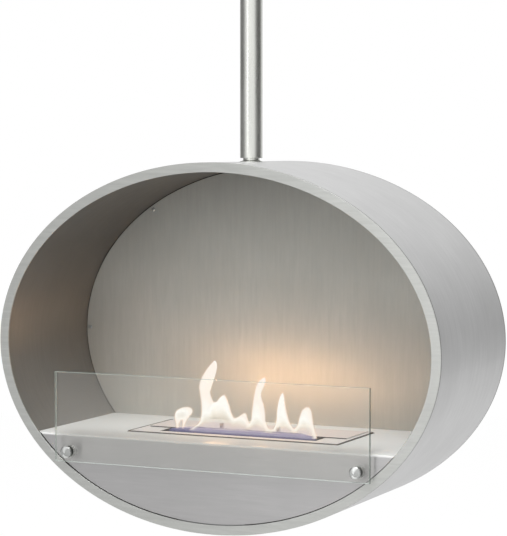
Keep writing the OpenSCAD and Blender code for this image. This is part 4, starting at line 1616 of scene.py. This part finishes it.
@dataclass
class Studio:
    """A white studio: floor, world, lamps and the camera at the photograph's angle.

    Attributes:
        cards: The dark sides.
        floor_drop: How far below the fireplace the floor lies.
        floor_radius: The floor's radius.
        floor_white: How much of the floor's look is plain white.
        aim: What the lamps face: the middle of the drum.
        eye: The camera's place.
        pitch: How far it looks down, in degrees.
        turn: How far it is turned to the left, in degrees.
        lens: Its focal length in mm.
        sensor: Its sensor's width in mm.
    """

    cards: tuple[Card, ...] = (
        Card((0.965, 0.262, 0.0), 0.90, 55.0),
        Card((-0.990, -0.142, 0.0), 0.80, 57.0),
    )
    floor_drop: float = 0.6
    floor_radius: float = 6.0
    floor_white: float = 0.86
    aim: tuple[float, float, float] = (0.0, 0.0, -0.8)
    eye: tuple[float, float, float] = (1.4997, -3.1892, -0.4891)
    pitch: float = 3.433
    turn: float = 25.125
    lens: float = 139.652
    sensor: float = 36.0

    def world(self) -> None:
        """Makes the world: white where it is seen, and plain on what it lights."""
        graph = Graph(bpy.data.worlds.new("studio"))
        bpy.context.scene.world = graph.owner
        where = graph.node("TexCoord").outputs["Generated"]
        fades = []
        for card in self.cards:
            dot = graph.node("VectorMath", {0: where, 1: Vector(card.towards).normalized()},
                             operation="DOT_PRODUCT").outputs["Value"]
            edge = math.cos(math.radians(card.half_angle))
            fades.append(graph.out(
                "MapRange", {"Value": dot, "From Min": edge, "From Max": 1.0, "To Min": 1.0,
                             "To Max": 1 - card.depth}, interpolation_type="SMOOTHSTEP"))
        white = graph.out("Background", {"Color": (1.0, 1.0, 1.0)})
        mirrored = graph.out("Background", {"Color": graph.maths("MULTIPLY", *fades)})
        path = graph.node("LightPath").outputs
        shown = graph.mix(path["Is Glossy Ray"], white, mirrored)
        for ray in ("Is Transmission Ray", "Is Camera Ray"):
            shown = graph.mix(path[ray], shown, white)
        graph.node("OutputWorld", {"Surface": shown})

    def floor(self) -> None:
        """Makes the floor under the fireplace, which is clear to an eye below it."""
        bm = bmesh.new()
        bmesh.ops.create_circle(bm, cap_ends=True, radius=self.floor_radius, segments=128)
        bmesh.ops.translate(bm, vec=(0, 0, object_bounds()[0].z - self.floor_drop), verts=bm.verts)
        mesh = Forge.mesh("studio_floor", bm)
        floor = add("studio_floor", mesh)
        graph = Graph(bpy.data.materials.new("studio_floor"))
        speckle = graph.blend(graph.noise(3.0), (0.94, 0.94, 0.94), (0.97, 0.97, 0.97))
        matt = graph.principled(Base_Color=speckle, Roughness=0.9)
        path = graph.node("LightPath").outputs
        shown = graph.maths("MAXIMUM", path["Is Camera Ray"], graph.maths(
            "MAXIMUM", path["Is Glossy Ray"], path["Is Transmission Ray"]))
        lit = graph.mix(graph.maths("MULTIPLY", shown, self.floor_white), matt,
                        graph.glow((1.0, 1.0, 1.0), 1.0))
        below = graph.node("NewGeometry").outputs["Backfacing"]
        graph.node("OutputMaterial", {"Surface": graph.mix(below, lit, graph.clear())})
        mesh.materials.append(graph.owner)
        floor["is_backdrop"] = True

    def lamp(self, name: str, place: tuple[float, float, float], width: float, height: float,
             level: float) -> None:
        """Adds a soft box that faces the middle of the drum.

        Args:
            name: Its name.
            place: Where it stands.
            width: Its width.
            height: Its height.
            level: Its brightness, where 1 is as bright as the white studio.
        """
        data = bpy.data.lights.new(name, "AREA")
        data.shape = "RECTANGLE"
        data.size, data.size_y = width, height
        data.energy = level * math.pi * width * height
        lamp = add(name, data)
        lamp.location = place
        towards = Vector(self.aim) - Vector(place)
        lamp.rotation_euler = towards.to_track_quat("-Z", "Y").to_euler()

    def camera(self) -> None:
        """Adds the camera at the photograph's angle."""
        data = bpy.data.cameras.new("camera")
        data.sensor_width, data.lens, data.clip_end = self.sensor, self.lens, 50.0
        camera = add("camera", data)
        camera.location = self.eye
        camera.rotation_euler = (math.radians(90 - self.pitch), 0.0, math.radians(self.turn))
        bpy.context.scene.camera = camera

    def build(self) -> None:
        """Sets the studio up."""
        self.world()
        self.floor()
        self.lamp("key_strip", (-0.71, -3.12, -0.6), width=0.35, height=2.2, level=1.6)
        self.lamp("front_box", (0.3, -1.75, 1.25), width=1.2, height=1.2, level=10.5)
        self.camera()
        bpy.context.scene.view_settings.view_transform = "Standard"


def main() -> None:
    """Builds the fireplace and its studio."""
    logging.basicConfig(level=logging.INFO, format="%(name)s: %(message)s")
    finishes = Finishes()
    for part in (Drum(finishes), Suspension(finishes), GlassScreen(finishes), Burner(finishes),
                 Fire(), Studio()):
        part.build()
        LOG.info("%s done", type(part).__name__)


if __name__ == "__main__":
    main()
